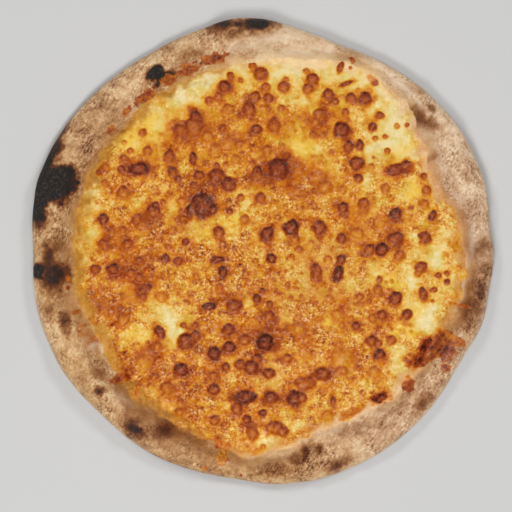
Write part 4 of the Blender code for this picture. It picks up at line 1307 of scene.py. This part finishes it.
cheese_recipe = Recipe("melted_cheese")
tone = cheese_recipe.stored("tone")
bubbled = cheese_recipe.stored("bubbled")
slope_here = cheese_recipe.stored("slope")
frothy_here = cheese_recipe.stored("frothy")
baked_colour = cheese_surface(
    cheese_recipe, tone, bubbled, cheese_recipe.stored("crown"), frothy_here,
    cheese_recipe.stored("fatty"), cheese_recipe.stored("olive"),
)
cheese_colour = cheese_recipe.blend(slope_here, baked_colour, slope_surface(cheese_recipe))
wrinkles = cheese_recipe.grain(1.7 * MM, detail=2.0, roughness=0.5, shift=3.0)
wetness = cheese_recipe.grain(7.0 * MM, detail=2.0, shift=6.0)
rough_share = (0.35 + 0.65 * wetness.rise(0.4, 0.6)) * (1.0 - 0.6 * slope_here) * (1.0 - 0.78 * bubbled)
relief_here = (0.5 * froth_relief_and_glint_dots(cheese_recipe) * frothy_here + 0.9 * wrinkles) * rough_share
cheese_mesh.materials.append(cheese_recipe.finish(
    Base_Color=cheese_colour,
    Roughness=0.15 + 0.05 * tone + 0.16 * bubbled + 0.35 * slope_here,
    Normal=cheese_recipe.bump(relief_here, RELIEF_DEPTH),
    IOR=FAT_BENDS_LIGHT,
    Specular_IOR_Level=FAT_SHINE,
    Specular_Tint=FAT_COLOUR,
))
print("melted_cheese has", len(cheese_recipe.tree.nodes), "nodes")

# %% [markdown]
# ## The finish of the dough
#
# Baked dough is beige where flour kept it dry, freckled brown where tiny bubbles caught the heat, and
# browner on the side that faced the fire. Over that come, in this order, grains of flour, the fat near
# the cheese, the char with its halo, the pale outer edge and fold crests, which are partly flour and
# partly painted light, the burnt cheese, which takes its colours from the cheese itself, and the flour
# on the underside.

# %% Colours of the dough
# From barely baked to dark brown, for flour with a golden cast and with a pink one.
GOLDEN_DOUGH = colour_row(
    (0.0, 238, 206, 154), (0.3, 214, 168, 108), (0.55, 182, 128, 70), (0.8, 136, 84, 38), (1.0, 84, 46, 22),
)
ROSY_DOUGH = colour_row(
    (0.0, 242, 214, 184), (0.3, 214, 176, 142), (0.55, 180, 137, 104), (0.8, 134, 90, 60),
    (1.0, 86, 52, 32),
)
# What scorching takes out of the colour under it, and the grains of the char itself.
SCORCH = colour_row(
    (0.0, 255, 255, 255), (0.25, 204, 178, 152), (0.5, 150, 110, 78), (0.75, 88, 58, 40),
    (0.95, 48, 36, 30),
)
CHAR_GRAINS = colour_row(
    (0.3, 12, 10, 9), (0.5, 26, 21, 18), (0.72, 84, 72, 62),
)
LOOSE_FLOUR = srgb(228, 200, 168)
PALE_LIP_FLOUR_AND_LIGHT = srgb(232, 212, 186)
UNDERSIDE_FLOUR = srgb(214, 188, 158)

# %% The dough
# How far the streaks are turned, in degrees, and how far they are drawn out.
STREAKS = (55.0, 2.6)
DRY_ROUGHNESS = 0.9
SPLASH_FROTH = 0.45

dough_recipe = Recipe("baked_dough")
burnt_here = dough_recipe.stored("burnt")
baked_here = dough_recipe.stored("bake")
greasy_here = dough_recipe.stored("greasy")
under_here = dough_recipe.stored("under")
splash_here = dough_recipe.stored("splash")

patches = dough_recipe.grain(16 * MM, detail=3.0, shift=1.0)
freckles = dough_recipe.grain(2.0 * MM, detail=4.0, roughness=0.75, shift=2.0)
flour = dough_recipe.grain(1.4 * MM, detail=3.0, roughness=0.7, shift=5.0)
streaks = dough_recipe.grain(1.5 * MM, detail=3.0, roughness=0.7, shift=5.0, stretch=STREAKS)
mottles = dough_recipe.grain(6.0 * MM, detail=3.0, roughness=0.6, shift=17.0)
scaly = dough_recipe.grain(20 * MM, detail=2.0, shift=27.0).rise(0.42, 0.60)
marked = (0.55 + 0.75 * scaly) * (0.35 + 0.65 * baked_here.rise(-0.12, 0.24))
small_marks = marked * (freckles + streaks - 1.0)
browning = 0.12 + 0.50 * baked_here + 1.0 * (patches - 0.5) + 0.95 * (mottles - 0.5) + 1.35 * small_marks
browning = browning.limited()
golden = dough_recipe.colours(browning, GOLDEN_DOUGH)
rosy = dough_recipe.colours(browning, ROSY_DOUGH)
dough_colour = dough_recipe.blend(dough_recipe.stored("pink"), golden, rosy)
dough_colour = dough_recipe.blend(0.4 * flour.rise(0.52, 0.72), dough_colour, LOOSE_FLOUR)
dough_colour = dough_recipe.blend(0.85 * greasy_here, dough_colour, slope_surface(dough_recipe))
char_edge = (burnt_here + 0.4 * (mottles + freckles - 1.0) * burnt_here.rise(0.02, 0.4)).limited()
dough_colour = dough_recipe.blend(1.0, dough_colour, dough_recipe.colours(char_edge, SCORCH), how="MULTIPLY")
char_grains = dough_recipe.colours(freckles, CHAR_GRAINS)
dough_colour = dough_recipe.blend(0.9 * char_edge.rise(0.6, 1.0), dough_colour, char_grains)
# Painted light, partly flour: the outer edge and the fold crests are blended towards a pale beige.
unburnt_lip_flour_and_light = dough_recipe.stored("lip") * (1.0 - burnt_here)
dough_colour = dough_recipe.blend(unburnt_lip_flour_and_light, dough_colour, PALE_LIP_FLOUR_AND_LIGHT)
splash_colour = cheese_surface(
    dough_recipe, dough_recipe.stored("splash_tone"),
    bubbled=1.0, crown=0.0, frothy=SPLASH_FROTH, fatty=0.0, olive=0.0,
)
torn = splash_here + 0.9 * (freckles - 0.5) + 0.7 * (mottles - 0.5)
splash_share = torn.rise(0.25, 0.65) * splash_here.rise(0.02, 0.25)
dough_colour = dough_recipe.blend(splash_share, dough_colour, splash_colour)
dough_colour = dough_recipe.blend(0.45 * under_here, dough_colour, UNDERSIDE_FLOUR)

skin = dough_recipe.grain(1.0 * MM, detail=4.0, roughness=0.65, shift=9.0)
smooth_share = (0.8 * greasy_here + splash_here).limited()
dough_mesh.materials.append(dough_recipe.finish(
    Base_Color=dough_colour,
    Roughness=DRY_ROUGHNESS - 0.42 * smooth_share,
    Normal=dough_recipe.bump(skin + 0.6 * freckles, RELIEF_DEPTH),
    Coat_Weight=0.2 * splash_here,
    Coat_Roughness=0.25,
))
print("baked_dough has", len(dough_recipe.tree.nodes), "nodes")
